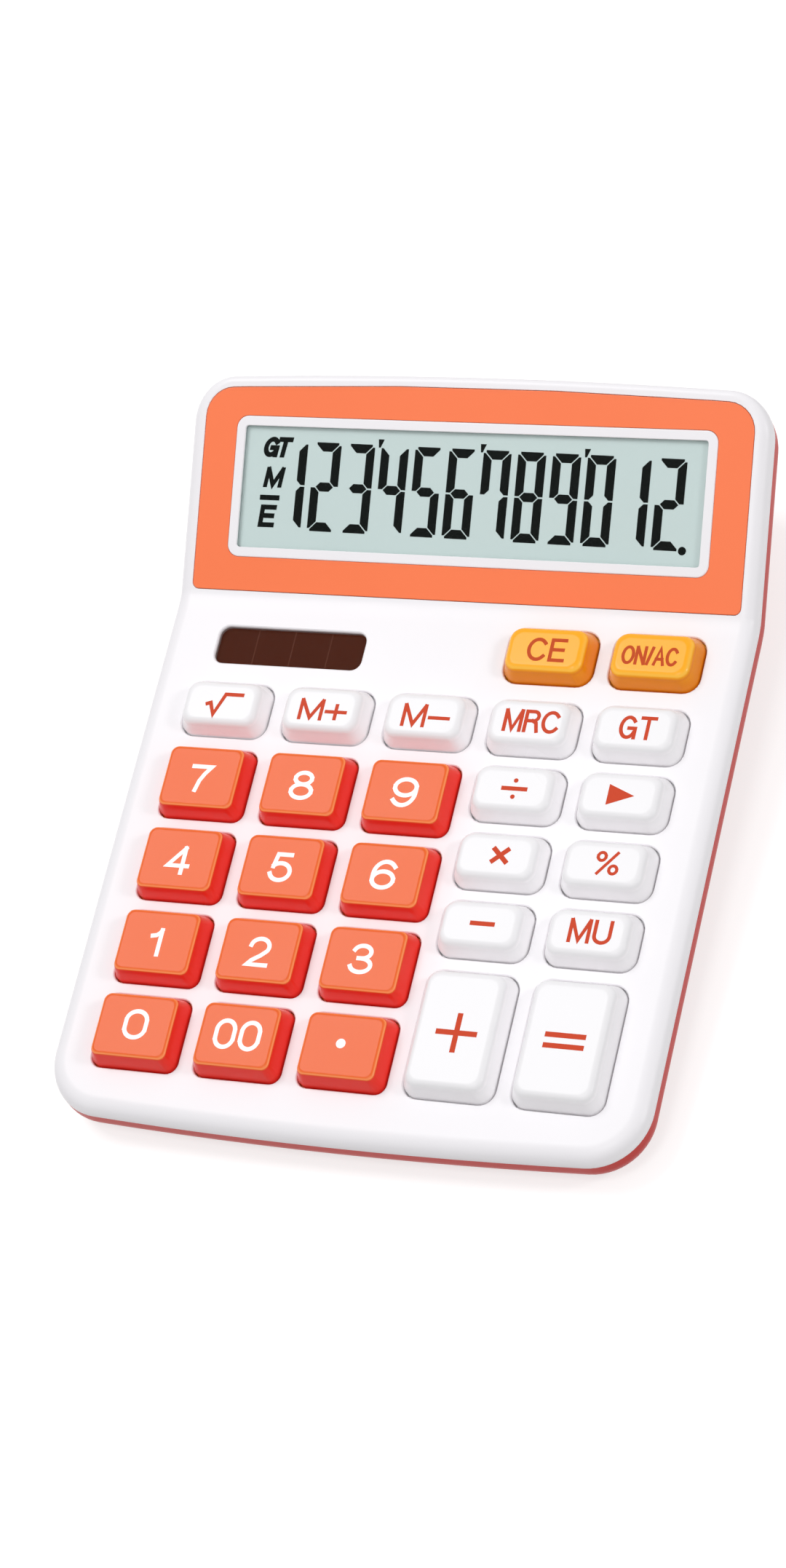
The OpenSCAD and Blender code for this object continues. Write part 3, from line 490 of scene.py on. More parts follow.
@dataclass(frozen=True)
class Finish:
    """One finish: its tone, how it drifts, its gloss and its grain, and the light painted on its
    sides and rim.
    """

    tone: Colour
    drift: float = 0.03
    roughness: float = 0.35
    roughness_drift: float = 0.06
    metallic: float = 0.0
    alpha: float = 1.0
    coat: float = 0.0
    grain: float = 2500.0
    grain_height: float = 0.004
    # Painted light: sides is a second tone painted on upright faces, lighter on the white finishes
    # and deeper on the orange and yellow keys; rim is a highlight painted on the rounded top edge.
    sides: Colour | None = None
    rim: Colour | None = None
    sheen_level: float = 0.5
    coat_roughness: float = 0.08
    grain_strength: float = 0.5
    least_roughness: float = 0.02

    def build(self, name: str, groups: dict[Effect, Tree]) -> bpy.types.Material:
        """Make the material.

        Args:
            name: What it is called.
            groups: The shared effects.

        Returns:
            The material, with its shader and effects linked.
        """
        material = bpy.data.materials.new(name)
        material.use_nodes = True
        tree = material.node_tree
        grain = add_node(tree, "Group", {"Fine": self.grain}, node_tree=groups[Effect.GRAIN])
        gloss = add_node(tree, "MapRange", {
            "Value": grain.outputs["Drift"],
            "To Min": max(self.roughness - self.roughness_drift, self.least_roughness),
            "To Max": self.roughness + self.roughness_drift,
        })
        bump = add_node(tree, "Bump", {
            "Height": grain.outputs["Height"],
            "Strength": self.grain_strength,
            "Distance": self.grain_height * MM,
        })
        feed(tree, tree.nodes["Principled BSDF"], {
            "Base Color": self._tones(tree, grain.outputs["Drift"], groups[Effect.UPRIGHT]),
            "Metallic": self.metallic,
            "Roughness": gloss.outputs["Result"],
            "Alpha": self.alpha,
            "Normal": bump.outputs["Normal"],
            "Specular IOR Level": self.sheen_level,
            "Coat Weight": self.coat,
            "Coat Roughness": self.coat_roughness,
        })
        return material

    def _tones(self, tree: Tree, drift: Socket, faces: Tree) -> Socket:
        """Link the colour's drift, with the painted light: a painted tone on upright faces and a
        painted highlight on the rim.

        Args:
            tree: The material's tree.
            drift: The grain's slow drift.
            faces: The group that masks the painted side tone and the painted rim highlight.

        Returns:
            The colour's output.
        """
        dark, light = (
            [*(min(c * (1 + sign * self.drift), 1.0) for c in linear(self.tone)[:3]), 1.0]
            for sign in (-1, 1)
        )
        tones = mixed(tree, drift, dark, light)
        # Painted light: the sides tone is mixed in on upright faces, and the rim's painted
        # highlight on the edge band.
        if self.sides:
            painted_light_masks = add_node(tree, "Group", node_tree=faces).outputs
            tones = mixed(tree, painted_light_masks["Mask"], tones, linear(self.sides))
            if self.rim:
                tones = mixed(tree, painted_light_masks["Edge"], tones, linear(self.rim))
        return tones


@dataclass(frozen=True)
class Finishes:
    """Every finish of the calculator."""

    # Painted light: sides is a lighter copy of the white, painted on upright faces and rounded
    # edges to lift their shade.
    shell_white: Finish = Finish(
        (238, 236, 239), 0.01, 0.32, sides=(255, 253, 255), sheen_level=0.25
    )
    shell_red: Finish = Finish((204, 46, 36), 0.03, 0.34, sheen_level=0.25)
    panel_orange: Finish = Finish((247, 122, 73), 0.01, 0.36, sheen_level=0.35)
    # Painted shade and highlight: sides is a deeper red painted on the upright faces; rim is a pale
    # orange highlight painted along the rounded top edge.
    key_orange: Finish = Finish(
        (231, 97, 35), 0.02, 0.22, sides=(246, 52, 40), rim=(255, 152, 92),
        grain_height=0.002, sheen_level=0.18,
    )
    # Painted light: sides is a lighter white painted on the upright faces to lift their shade.
    key_white: Finish = Finish(
        (237, 236, 238), 0.01, 0.28, sides=(255, 253, 255), grain_height=0.002,
        sheen_level=0.25,
    )
    # Painted shade and highlight: sides is a deeper amber painted on the upright faces; rim is a
    # paler yellow highlight painted along the rounded top edge.
    key_yellow: Finish = Finish(
        (252, 172, 26), 0.02, 0.24, sides=(240, 138, 18), rim=(255, 192, 70),
        grain_height=0.002, sheen_level=0.25,
    )
    print_white: Finish = Finish((252, 251, 250), 0.01, 0.5)
    print_rust: Finish = Finish((201, 66, 32), 0.03, 0.5, sheen_level=0.15)
    print_brown: Finish = Finish((192, 72, 18), 0.03, 0.5, sheen_level=0.15)
    display_film: Finish = Finish(
        (204, 221, 219), 0.01, 0.42, grain=900.0, sheen_level=0.1
    )
    display_ink: Finish = Finish((8, 13, 11), 0.1, 0.5, sheen_level=0.05)
    clear_pane: Finish = Finish(
        (60, 64, 64), 0.01, 0.06, 0.02, alpha=0.02, sheen_level=0.12
    )
    tinted_pane: Finish = Finish(
        (70, 24, 4), 0.05, 0.12, 0.04, alpha=0.35, sheen_level=0.03
    )
    solar_film: Finish = Finish((106, 40, 10), 0.08, 0.4, sheen_level=0.03)
    solar_line: Finish = Finish((150, 92, 74), 0.05, 0.4, sheen_level=0.1)
    inner_grey: Finish = Finish((215, 214, 212), 0.03, 0.5)
    film_amber: Finish = Finish((190, 128, 52), 0.06, 0.3, coat=0.3)
    silicone: Finish = Finish((96, 98, 104), 0.05, 0.6)
    carbon: Finish = Finish((24, 24, 25), 0.1, 0.7)
    laminate: Finish = Finish((146, 108, 54), 0.12, 0.5, grain=700.0)
    resin: Finish = Finish((18, 18, 20), 0.1, 0.22)
    lacquer: Finish = Finish((196, 160, 110), 0.08, 0.3)
    sleeve: Finish = Finish((38, 44, 84), 0.05, 0.25, coat=0.4)
    cell_jacket: Finish = Finish((46, 104, 82), 0.05, 0.22, coat=0.5)
    nickel: Finish = Finish((196, 194, 190), 0.05, 0.24, metallic=1.0)
    zinc: Finish = Finish((168, 168, 170), 0.06, 0.32, metallic=1.0)
    wire_red: Finish = Finish((190, 30, 26), 0.05, 0.4)
    foot_rubber: Finish = Finish((38, 38, 40), 0.08, 0.75, grain_height=0.02)


class Paints:
    """The materials, each made once from its finish."""

    def __init__(self) -> None:
        """Make the shared effects and one material for each finish."""
        groups = {Effect.GRAIN: grain_group(), Effect.UPRIGHT: painted_light_group()}
        finishes = vars(Finishes()).items()
        self._made = {name: finish.build(name, groups) for name, finish in finishes}

    def dress(self, piece: Piece, finish: str) -> None:
        """Give a piece its material."""
        piece.data.materials.clear()
        piece.data.materials.append(self._made[finish])

    def fit(self, piece: Piece, finish: str, body: str, slot: str, *nodes: str) -> None:
        """Dress a finished piece and let it ride on a body, in place of CAD nodes.

        Args:
            piece: The finished piece.
            finish: The name of its finish.
            body: The body that it moves with.
            slot: The record's material slot, which is not used.
            nodes: The CAD nodes that it stands for.
        """
        self.dress(piece, finish)
        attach(piece, body)
        if nodes:
            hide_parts(*nodes)
        LOG.info("%s: %d faces on %s", piece.name, len(piece.data.polygons), body)


# ---- The housing's form ----


@dataclass(frozen=True)
class Decks:
    """The two sloping decks, and the planes that pieces stand on."""

    slope: float = 5.0
    fold: float = 22.3
    front_height: float = 10.0
    length: float = 108.8
    blend_before: float = 3.0
    blend_after: float = 1.2
    front: float = CAD_BOX[0][1] / MM
    rear: float = CAD_BOX[1][1] / MM

    @property
    def tilt(self) -> float:
        """Slope of the display deck to the table, in degrees."""
        return self.slope + self.fold

    @property
    def fold_y(self) -> float:
        """Where the display deck starts, seen from above."""
        return self.front + self.length * math.cos(math.radians(self.slope))

    @property
    def fold_z(self) -> float:
        """Height of the fold over the table."""
        return self.front_height + self.length * math.sin(math.radians(self.slope))

    @property
    def table(self) -> Matrix:
        """Carries millimetres on the table to metres."""
        return Matrix.Scale(MM, 4)

    @property
    def keys(self) -> Matrix:
        """Carries millimetres on the key deck to metres; y starts at its front edge."""
        turn = Matrix.Rotation(math.radians(self.slope), 4, "X")
        return self.table @ Matrix.Translation((0, self.front, self.front_height)) @ turn

    @property
    def display(self) -> Matrix:
        """Carries millimetres on the display deck to metres; y starts at the fold."""
        turn = Matrix.Rotation(math.radians(self.fold), 4, "X")
        return self.keys @ Matrix.Translation((0, self.length, 0)) @ turn

    def fold_shift(self, depth: float) -> float:
        """How far to the rear the fold lies at a depth under the decks."""
        return depth * math.tan(math.radians(self.slope + self.fold / 2))

    def fold_places(self, depth: float, count: int) -> list[float]:
        """Places along y, across the rounded fold.

        Args:
            depth: How far under the decks.
            count: How many places.

        Returns:
            The places, from the front.
        """
        start = self.fold_y + self.fold_shift(depth) - self.blend_before
        reach = self.blend_before + self.blend_after
        return [start + reach * k / (count - 1) for k in range(count)]

    def height(self, y: float, depth: float = 0.0) -> float:
        """Height over the table of the decks' top, or of what lies under it.

        Args:
            y: The place, seen from above.
            depth: How far under the deck, square to it.

        Returns:
            The height in millimetres.
        """
        low, steep = math.tan(math.radians(self.slope)), math.tan(math.radians(self.tilt))
        along = y - self.fold_y - self.fold_shift(depth)
        corner = self.fold_z - depth / math.cos(math.radians(self.slope))
        corner += low * self.fold_shift(depth)
        if along <= -self.blend_before:
            return corner + along * low
        if along >= self.blend_after:
            return corner + along * steep
        before, after = self.blend_before, self.blend_after
        bend = after - before
        t = (math.sqrt(before**2 + bend * (before + along)) - before) / bend
        return corner - before * low * (1 - t) ** 2 + after * steep * t**2


def bow_radius(half: float, rise: float, straight: float = 1e6) -> float:
    """Radius of an arc from its half chord and its rise, and a very large one for no rise."""
    return (half**2 + rise**2) / (2 * rise) if rise else straight


@dataclass(frozen=True)
class Outline:
    """An outline of the housing seen from above, with bowed ends and round corners."""

    half_front: float
    half_rear: float
    front: float
    rear: float
    front_corner: float
    rear_corner: float
    front_bow: float
    rear_bow: float
    rear_squash: float = 1.0
    corner_steps: int = 14
    bow_steps: int = 12
    fold_steps: int = 9

    def points(self, inset: float, back: float, across: Sequence[float]) -> list[Point]:
        """Points of the outline, from the front left corner, all the way round.

        Args:
            inset: How far it is drawn in at the front and the sides.
            back: How far it is drawn in at the rear.
            across: Places along y of the points on the two straight sides.

        Returns:
            The points, in millimetres.
        """
        front = self._end(self.half_front, self.front_corner, self.front_bow, inset, inset)
        rear = self._end(self.half_rear, self.rear_corner, self.rear_bow, inset, back)
        low = [(x, self.front + y) for x, y in front]
        high = [(-x, self.rear - y * self.rear_squash) for x, y in rear]
        sides = [self._between(low[-1], high[0], y) for y in across]
        far = [self._between(low[0], high[-1], y) for y in reversed(across)]
        return low + sides + high + far

    @staticmethod
    def _between(start: Point, end: Point, y: float) -> Point:
        """The point at y on the straight line between two points."""
        share = (y - start[1]) / (end[1] - start[1])
        return start[0] + (end[0] - start[0]) * share, y

    def _end(
        self, half: float, corner: float, bow: float, inset: float, back: float
    ) -> list[Point]:
        """Points of one end, with its middle at y = 0 and its sides towards +y.

        Args:
            half: Half its width.
            corner: Its corners' radius.
            bow: How far its middle stands out.
            inset: How far the sides are drawn in.
            back: How far the end is drawn in.

        Returns:
            The points, from the left side to the right one.
        """
        radius = bow_radius(half, bow)
        middle_x = half - corner
        middle_y = radius - math.sqrt((radius - corner) ** 2 - middle_x**2)
        turn = math.asin(middle_x / (radius - corner))
        points = []
        for step in range(self.corner_steps + 1):
            a = math.pi + (math.pi / 2 - turn) * step / self.corner_steps
            x = -middle_x + (corner - inset) * math.cos(a)
            points.append((x, middle_y + (corner - back) * math.sin(a)))
        bowed = []
        for step in range(1, self.bow_steps):
            a = turn * (2 * step / self.bow_steps - 1)
            bowed.append(((radius - back) * math.sin(a), radius - (radius - back) * math.cos(a)))
        return points + bowed + [(-x, y) for x, y in reversed(points)]


@dataclass
class Part:
    """What every sub-assembly has: the decks that it stands on, and the paints."""

    decks: Decks
    paints: Paints


@dataclass
class Housing(Part):
    """The white upper housing and the red lower one."""

    half_width: float = CAD_BOX[1][0] / MM
    upper_depth: float = 2.7
    upper_wall: float = 1.5
    wall: float = 1.8
    floor: float = 1.8
    edge: float = 3.3
    edge_drop: float = 2.5
    edge_steps: int = 9
    rear_edge: float = 2.3
    corners: Pair = (11.5, 9.0)
    bows: Pair = (1.8, 1.4)
    joint: float = 0.02
    rim_side: float = 1.5
    rim: float = 4.5
    rim_turn: float = 40.0
    rim_steps: int = 5
    rim_at_rear: float = 0.3
    base_height: float = 1.0
    base_edge: float = 1.2
    base_in_front: float = 6.0
    base_in_rear: float = 14.0
    base_front: float = 3.0
    base_rear: float = 1.5
    base_corner: float = 7.0
    base_wall: float = 2.4
    room_over: float = 1.0
    key_gap: float = 0.35
    key_rim: float = 0.35
    through: float = 4.0

    @property
    def outline(self) -> Outline:
        """Outline of both housings at the joint line."""
        return Outline(
            self.half_width, self.half_width, self.decks.front, self.decks.rear,
            *self.corners, *self.bows, math.cos(math.radians(self.decks.tilt)),
        )

    @property
    def base(self) -> Outline:
        """Outline of the lower housing's base."""
        return Outline(
            self.half_width - self.base_in_front, self.half_width - self.base_in_rear,
            self.decks.front + self.base_front, self.decks.rear - self.base_rear,
            self.base_corner, self.base_corner, 0.0, 0.0,
        )

    def ring(self, depth: float, inset: float, back: float) -> list[Vector]:
        """The outline at a depth under the decks.

        Args:
            depth: The depth, square to the decks.
            inset: How far it is drawn in at the front and the sides.
            back: How far it is drawn in at the rear.

        Returns:
            The points, in metres.
        """
        across = self.decks.fold_places(depth, self.outline.fold_steps)
        points = self.outline.points(inset, back, across)
        place = self.decks.table
        return [place @ Vector((x, y, self.decks.height(y, depth))) for x, y in points]

    def base_ring(self, height: float, inset: float) -> list[Vector]:
        """The base's outline at a height over the table.

        Args:
            height: The height.
            inset: How far it is drawn in.

        Returns:
            The points, in metres.
        """
        across = self.decks.fold_places(self.decks.fold_z - height, self.base.fold_steps)
        points = self.base.points(inset, inset, across)
        return [self.decks.table @ Vector((x, y, height)) for x, y in points]

    def crease(self, piece: Piece, ring: Sequence[Vector]) -> None:
        """Join the two sides of a ring with edges across the rounded fold.

        Args:
            piece: The mesh that the ring is in.
            ring: Its points, in metres.
        """
        count = self.outline.fold_steps
        end = 2 * (self.outline.corner_steps + 1) + self.outline.bow_steps - 1
        for step in range(count):
            ends = (ring[end + step], ring[len(ring) - 1 - step])
            with editing(piece, "DESELECT"):
                mesh = bmesh.from_edit_mesh(piece.data)
                for vertex in mesh.verts:
                    vertex.select = any((vertex.co - spot).length < NEAR for spot in ends)
                mesh.select_flush_mode()
                bmesh.update_edit_mesh(piece.data)
                bpy.ops.mesh.vert_connect_path()

    def open_end(self, piece: Piece) -> None:
        """Delete a loft's lower end, which is the face with the most corners that looks down.

        Args:
            piece: The loft.
        """
        with editing(piece, "DESELECT"):
            bpy.ops.mesh.select_mode(type="FACE")
            mesh = bmesh.from_edit_mesh(piece.data)
            down = [face for face in mesh.faces if face.normal.z < -0.5]
            max(down, key=lambda face: len(face.verts)).select = True
            bmesh.update_edit_mesh(piece.data)
            bpy.ops.mesh.delete(type="ONLY_FACE")

    def build_upper(self, openings: Sequence[Piece]) -> None:
        """Make the white housing, with its openings cut.

        Args:
            openings: The tools that cut it.
        """
        rings = [self.ring(self.upper_depth, 0.0, 0.0)]
        for depth, inset in fillet(self.edge, self.edge_steps, drop=self.edge_drop):
            rings.append(self.ring(depth, inset, inset * self.rear_edge / self.edge))
        piece = loft("upper_housing_shell", rings)
        self.crease(piece, rings[-1])
        self.open_end(piece)
        wall = self.upper_wall * MM
        apply_modifier(piece, "SOLIDIFY", thickness=wall, offset=-1.0, use_even_offset=True)
        for tool in openings:
            combine(piece, tool, "DIFFERENCE")
        self.paints.fit(
            smoothed(piece), "shell_white", CASING,
            "housing_white", "upper_housing", "display_housing",
        )

    def rim_rings(self, inset: float, top: float) -> list[list[Vector]]:
        """Rings of the lower housing's rounded rim, from its lowest one up.

        Args:
            inset: How far they are drawn in, for the wall's inside.
            top: Depth of the last ring under the decks.

        Returns:
            The rings, in metres.
        """
        rings = []
        for step in range(self.rim_steps, -1, -1):
            turn = math.radians(self.rim_turn * step / self.rim_steps)
            draw = self.rim * (1 - math.cos(turn))
            depth = self.upper_depth + self.rim_side + self.rim * math.sin(turn)
            rings.append(self.ring(depth, inset + draw, inset + draw * self.rim_at_rear))
        return [*rings, self.ring(top, inset, inset)]

    def build_lower(self, underside: "Underside") -> None:
        """Make the red housing: a rounded rim, sides drawn in to the base, and the bay.

        Args:
            underside: What is added and cut below.
        """
        rings = [self.base_ring(self.base_height, self.base_edge)]
        for depth, inset in reversed(fillet(self.base_edge, 4)[:-1]):
            rings.append(self.base_ring(self.base_height + depth, inset))
        rings += self.rim_rings(0.0, self.upper_depth + self.joint)
        piece = loft("lower_housing_shell", rings)
        self.crease(piece, rings[-1])
        hollow = [self.base_ring(self.base_height + self.floor, self.base_wall)]
        hollow += self.rim_rings(self.wall, self.upper_depth - self.room_over)
        room = loft("room", hollow)
        self.crease(room, hollow[-1])
        combine(piece, room, "DIFFERENCE")
        underside.work_on(piece)
        self.paints.fit(smoothed(piece), "shell_red", CASING, "shell_red", "lower_housing")


@dataclass
class Underside(Part):
    """The lower housing's bay, door slot, screw wells and foot recesses."""

    bay_length: float = 56.9
    bay_half: float = 7.5
    bay_wall: float = 1.3
    bay_top: float = 18.35
    bay_from_rear: float = 15.9
    floor: float = 1.0
    lap: float = 0.5
    below: float = 1.0
    door_step: float = 1.2
    door_gap: float = 0.15
    door_half: float = 30.05
    door_half_wide: float = 31.25
    door_margin: float = 0.3
    door_from_rear: float = 1.5
    door_round: float = 0.25
    door_angle: float = 35.0
    flange_short: float = 1.0
    frame_width: float = 2.4
    frame_top: float = 4.6
    frame_from_rear: float = 2.6
    grooves: int = 5
    groove_from_rear: float = 3.1
    groove_pitch: float = 1.6
    groove_length: float = 18.0
    groove_width: float = 0.8
    groove_depth: float = 0.4
    groove_corner: float = 0.39
    head_radius: float = 2.4
    hole_radius: float = 1.2
    hole_reach: float = 1.0
    post_radius: float = 3.3
    seat: float = 1.4
    front_screw: Spot = (31.8, 6.6, 2.6)
    middle_screw: Spot = (0.0, 99.0, 8.0)
    rear_screw: Spot = (40.0, 5.2, 14.0)
    front_foot: Point = (44.0, 12.5)
    rear_foot: Point = (39.7, 14.5)
    foot_radius: float = 4.5
    foot_gap: float = 0.1
    foot_round: float = 0.4
    foot_sunk: float = 0.6
    foot_angle: float = 50.0
    reach: float = 40.0

    @property
    def bay_y(self) -> float:
        """Middle of the battery bay, seen from above."""
        return self.decks.rear - self.bay_from_rear

    @property
    def door_front(self) -> float:
        """Front edge of the battery door."""
        return self.bay_y - self.bay_half - self.bay_wall - self.door_margin

    def screws(self) -> list[Spot]:
        """Places and seat heights of the housing screws: two front, one middle, two rear.

        Returns:
            x, y and the seat's height over the table, for each screw.
        """
        cos = math.cos(math.radians(self.decks.slope))
        fx, fy, fz = self.front_screw
        mx, my, mz = self.middle_screw
        rx, ry, rz = self.rear_screw
        front, rear = self.decks.front + fy * cos, self.decks.rear - ry
        middle = (mx, self.decks.front + my * cos, mz)
        return [(-fx, front, fz), (fx, front, fz), middle, (-rx, rear, rz), (rx, rear, rz)]

    def feet(self) -> list[Point]:
        """Middles of the four rubber feet.

        Returns:
            x and y of each, the front ones first.
        """
        (fx, fy), (rx, ry) = self.front_foot, self.rear_foot
        front, rear = self.decks.front + fy, self.decks.rear - ry
        return [(-fx, front), (fx, front), (-rx, rear), (rx, rear)]

    def work_on(self, piece: Piece) -> None:
        """Add the bay and the screw posts to a shell, then cut what opens downwards.

        Args:
            piece: The lower housing's shell.
        """
        bay, wall = self.bay_half + self.bay_wall, self.bay_length / 2 + self.bay_wall
        wide, low = self.door_half_wide + self.frame_width, self.floor + self.lap
        front, rear = self.door_front - self.frame_width, self.decks.rear - self.frame_from_rear
        over = self.bay_top + self.bay_wall
        adds = [
            block("bay", (-wall, self.bay_y - bay, low), (wall, self.bay_y + bay, over)),
            block("frame", (-wide, front, low), (wide, rear, self.frame_top)),
        ]
        for x, y, z in self.screws():
            adds.append(post("post", x, y, self.post_radius, low, z + self.seat))
        for tool in adds:
            combine(piece, tool, "UNION")
        for tool in self.cuts():
            combine(piece, tool, "DIFFERENCE")

    def cuts(self) -> list[Piece]:
        """Make the tools that cut the bay, the door's stepped slot, the wells and the recesses.

        Returns:
            The tools.
        """
        gap, floor, step = self.door_gap, self.floor, self.door_step
        front, under = self.door_front - gap, floor - self.below
        half, wide = self.door_half + gap, self.door_half_wide + gap
        far, top = front + self.reach, floor + 2 * step + gap
        cell, y, bay = self.bay_length / 2, self.bay_y, self.bay_half
        tools = [
            block("cell_room", (-cell, y - bay, under), (cell, y + bay, self.bay_top)),
            block("slot_low", (-half, front, under), (half, far, top)),
            block("slot_wide", (-wide, front, floor + step - gap), (wide, far, top)),
        ]
        for x, y, z in self.screws():
            end = z + self.seat + self.hole_reach
            tools.append(post("well", x, y, self.head_radius, under, z))
            tools.append(post("hole", x, y, self.hole_radius, under, end))
        recess, sunk = self.foot_radius + self.foot_gap, floor + self.foot_sunk
        return tools + [post("recess", x, y, recess, under, sunk) for x, y in self.feet()]

    def build_door(self) -> None:
        """Make the battery door: a stepped slab with grooves for the thumb."""
        rear, floor, step = self.decks.rear - self.door_from_rear, self.floor, self.door_step
        front, half, wide = self.door_front, self.door_half, self.door_half_wide
        top, end = floor + 2 * step, rear - self.flange_short
        piece = block("battery_door_slab", (-half, front, floor), (half, rear, top))
        flange = block("flange", (-wide, front, floor + step), (wide, end, top))
        combine(piece, flange, "UNION")
        apply_modifier(
            piece, "BEVEL", width=self.door_round * MM, segments=3,
            limit_method="ANGLE", angle_limit=math.radians(self.door_angle),
        )
        profile = [(floor - self.lap, 0), (floor + self.groove_depth, 0)]
        for k in range(self.grooves):
            place = Matrix.Translation((0, rear - self.groove_from_rear - self.groove_pitch * k, 0))
            length = self.groove_length - self.groove_pitch * k
            shape = rounded_rect(length, self.groove_width, self.groove_corner, 5)
            groove = solid("groove", shape, self.decks.table @ place, profile)
            combine(piece, groove, "DIFFERENCE")
        smoothed(piece, self.door_angle)
        self.paints.fit(piece, "shell_red", "battery_door", "shell_red", "battery_door")

    def build_feet(self) -> None:
        """Make the four rubber feet, with rounded lower edges."""
        spots = [Vector((x, y, 0)) for x, y in self.feet()]
        profile = [*reversed(fillet(self.foot_round, 4)), (self.floor + self.foot_sunk, 0.0)]
        place = self.decks.table @ Matrix.Translation(spots[0])
        first = solid("foot", disc(self.foot_radius), place, profile)
        feet = [copied(first, "foot", (spot - spots[0]) * MM) for spot in spots[1:]]
        piece = smoothed(joined("rubber_feet_round", [first, *feet]), self.foot_angle)
        self.paints.fit(piece, "foot_rubber", CASING, "foot_rubber", "rubber_feet")


# ---- Lettering drawn with a pen of even width ----


ARC_STEP = 12
DOT_END = 345
SHARPEST = 0.45


def arc(x: float, y: float, rx: float, ry: float, start: float, end: float) -> list[Point]:
    """Points on an ellipse's arc.

    Args:
        x: Its middle along x.
        y: Its middle along y.
        rx: Its radius along x.
        ry: Its radius along y.
        start: The angle that it starts at, in degrees.
        end: The angle that it ends at.

    Returns:
        The points.
    """
    steps = max(3, round(abs(end - start) / ARC_STEP))
    turns = [math.radians(start + (end - start) * k / steps) for k in range(steps + 1)]
    return [(x + rx * math.cos(a), y + ry * math.sin(a)) for a in turns]


def ring_of(x: float, y: float, rx: float, ry: float) -> list[list[Point]]:
    """A closed oval as two strokes that lap over each other."""
    return [arc(x, y, rx, ry, -4, 184), arc(x, y, rx, ry, 176, 364)]


@dataclass(frozen=True)
class Glyph:
    """A sign as pen strokes, dots and filled shapes, one unit high between its lines."""

    width: float
    strokes: Sequence[Sequence[Point]] = ()
    dots: Sequence[Spot] = ()
    fills: Sequence[Sequence[Point]] = ()


def half_turned(glyph: Glyph) -> Glyph:
    """The glyph turned round by half a turn."""
    strokes = [[(glyph.width - x, 1 - y) for x, y in stroke] for stroke in glyph.strokes]
    return Glyph(glyph.width, strokes)


SIX = Glyph(0.66, [
    *ring_of(0.33, 0.31, 0.33, 0.31), [(0, 0.34), *arc(0.36, 0.5, 0.36, 0.5, 180, 40)],
])

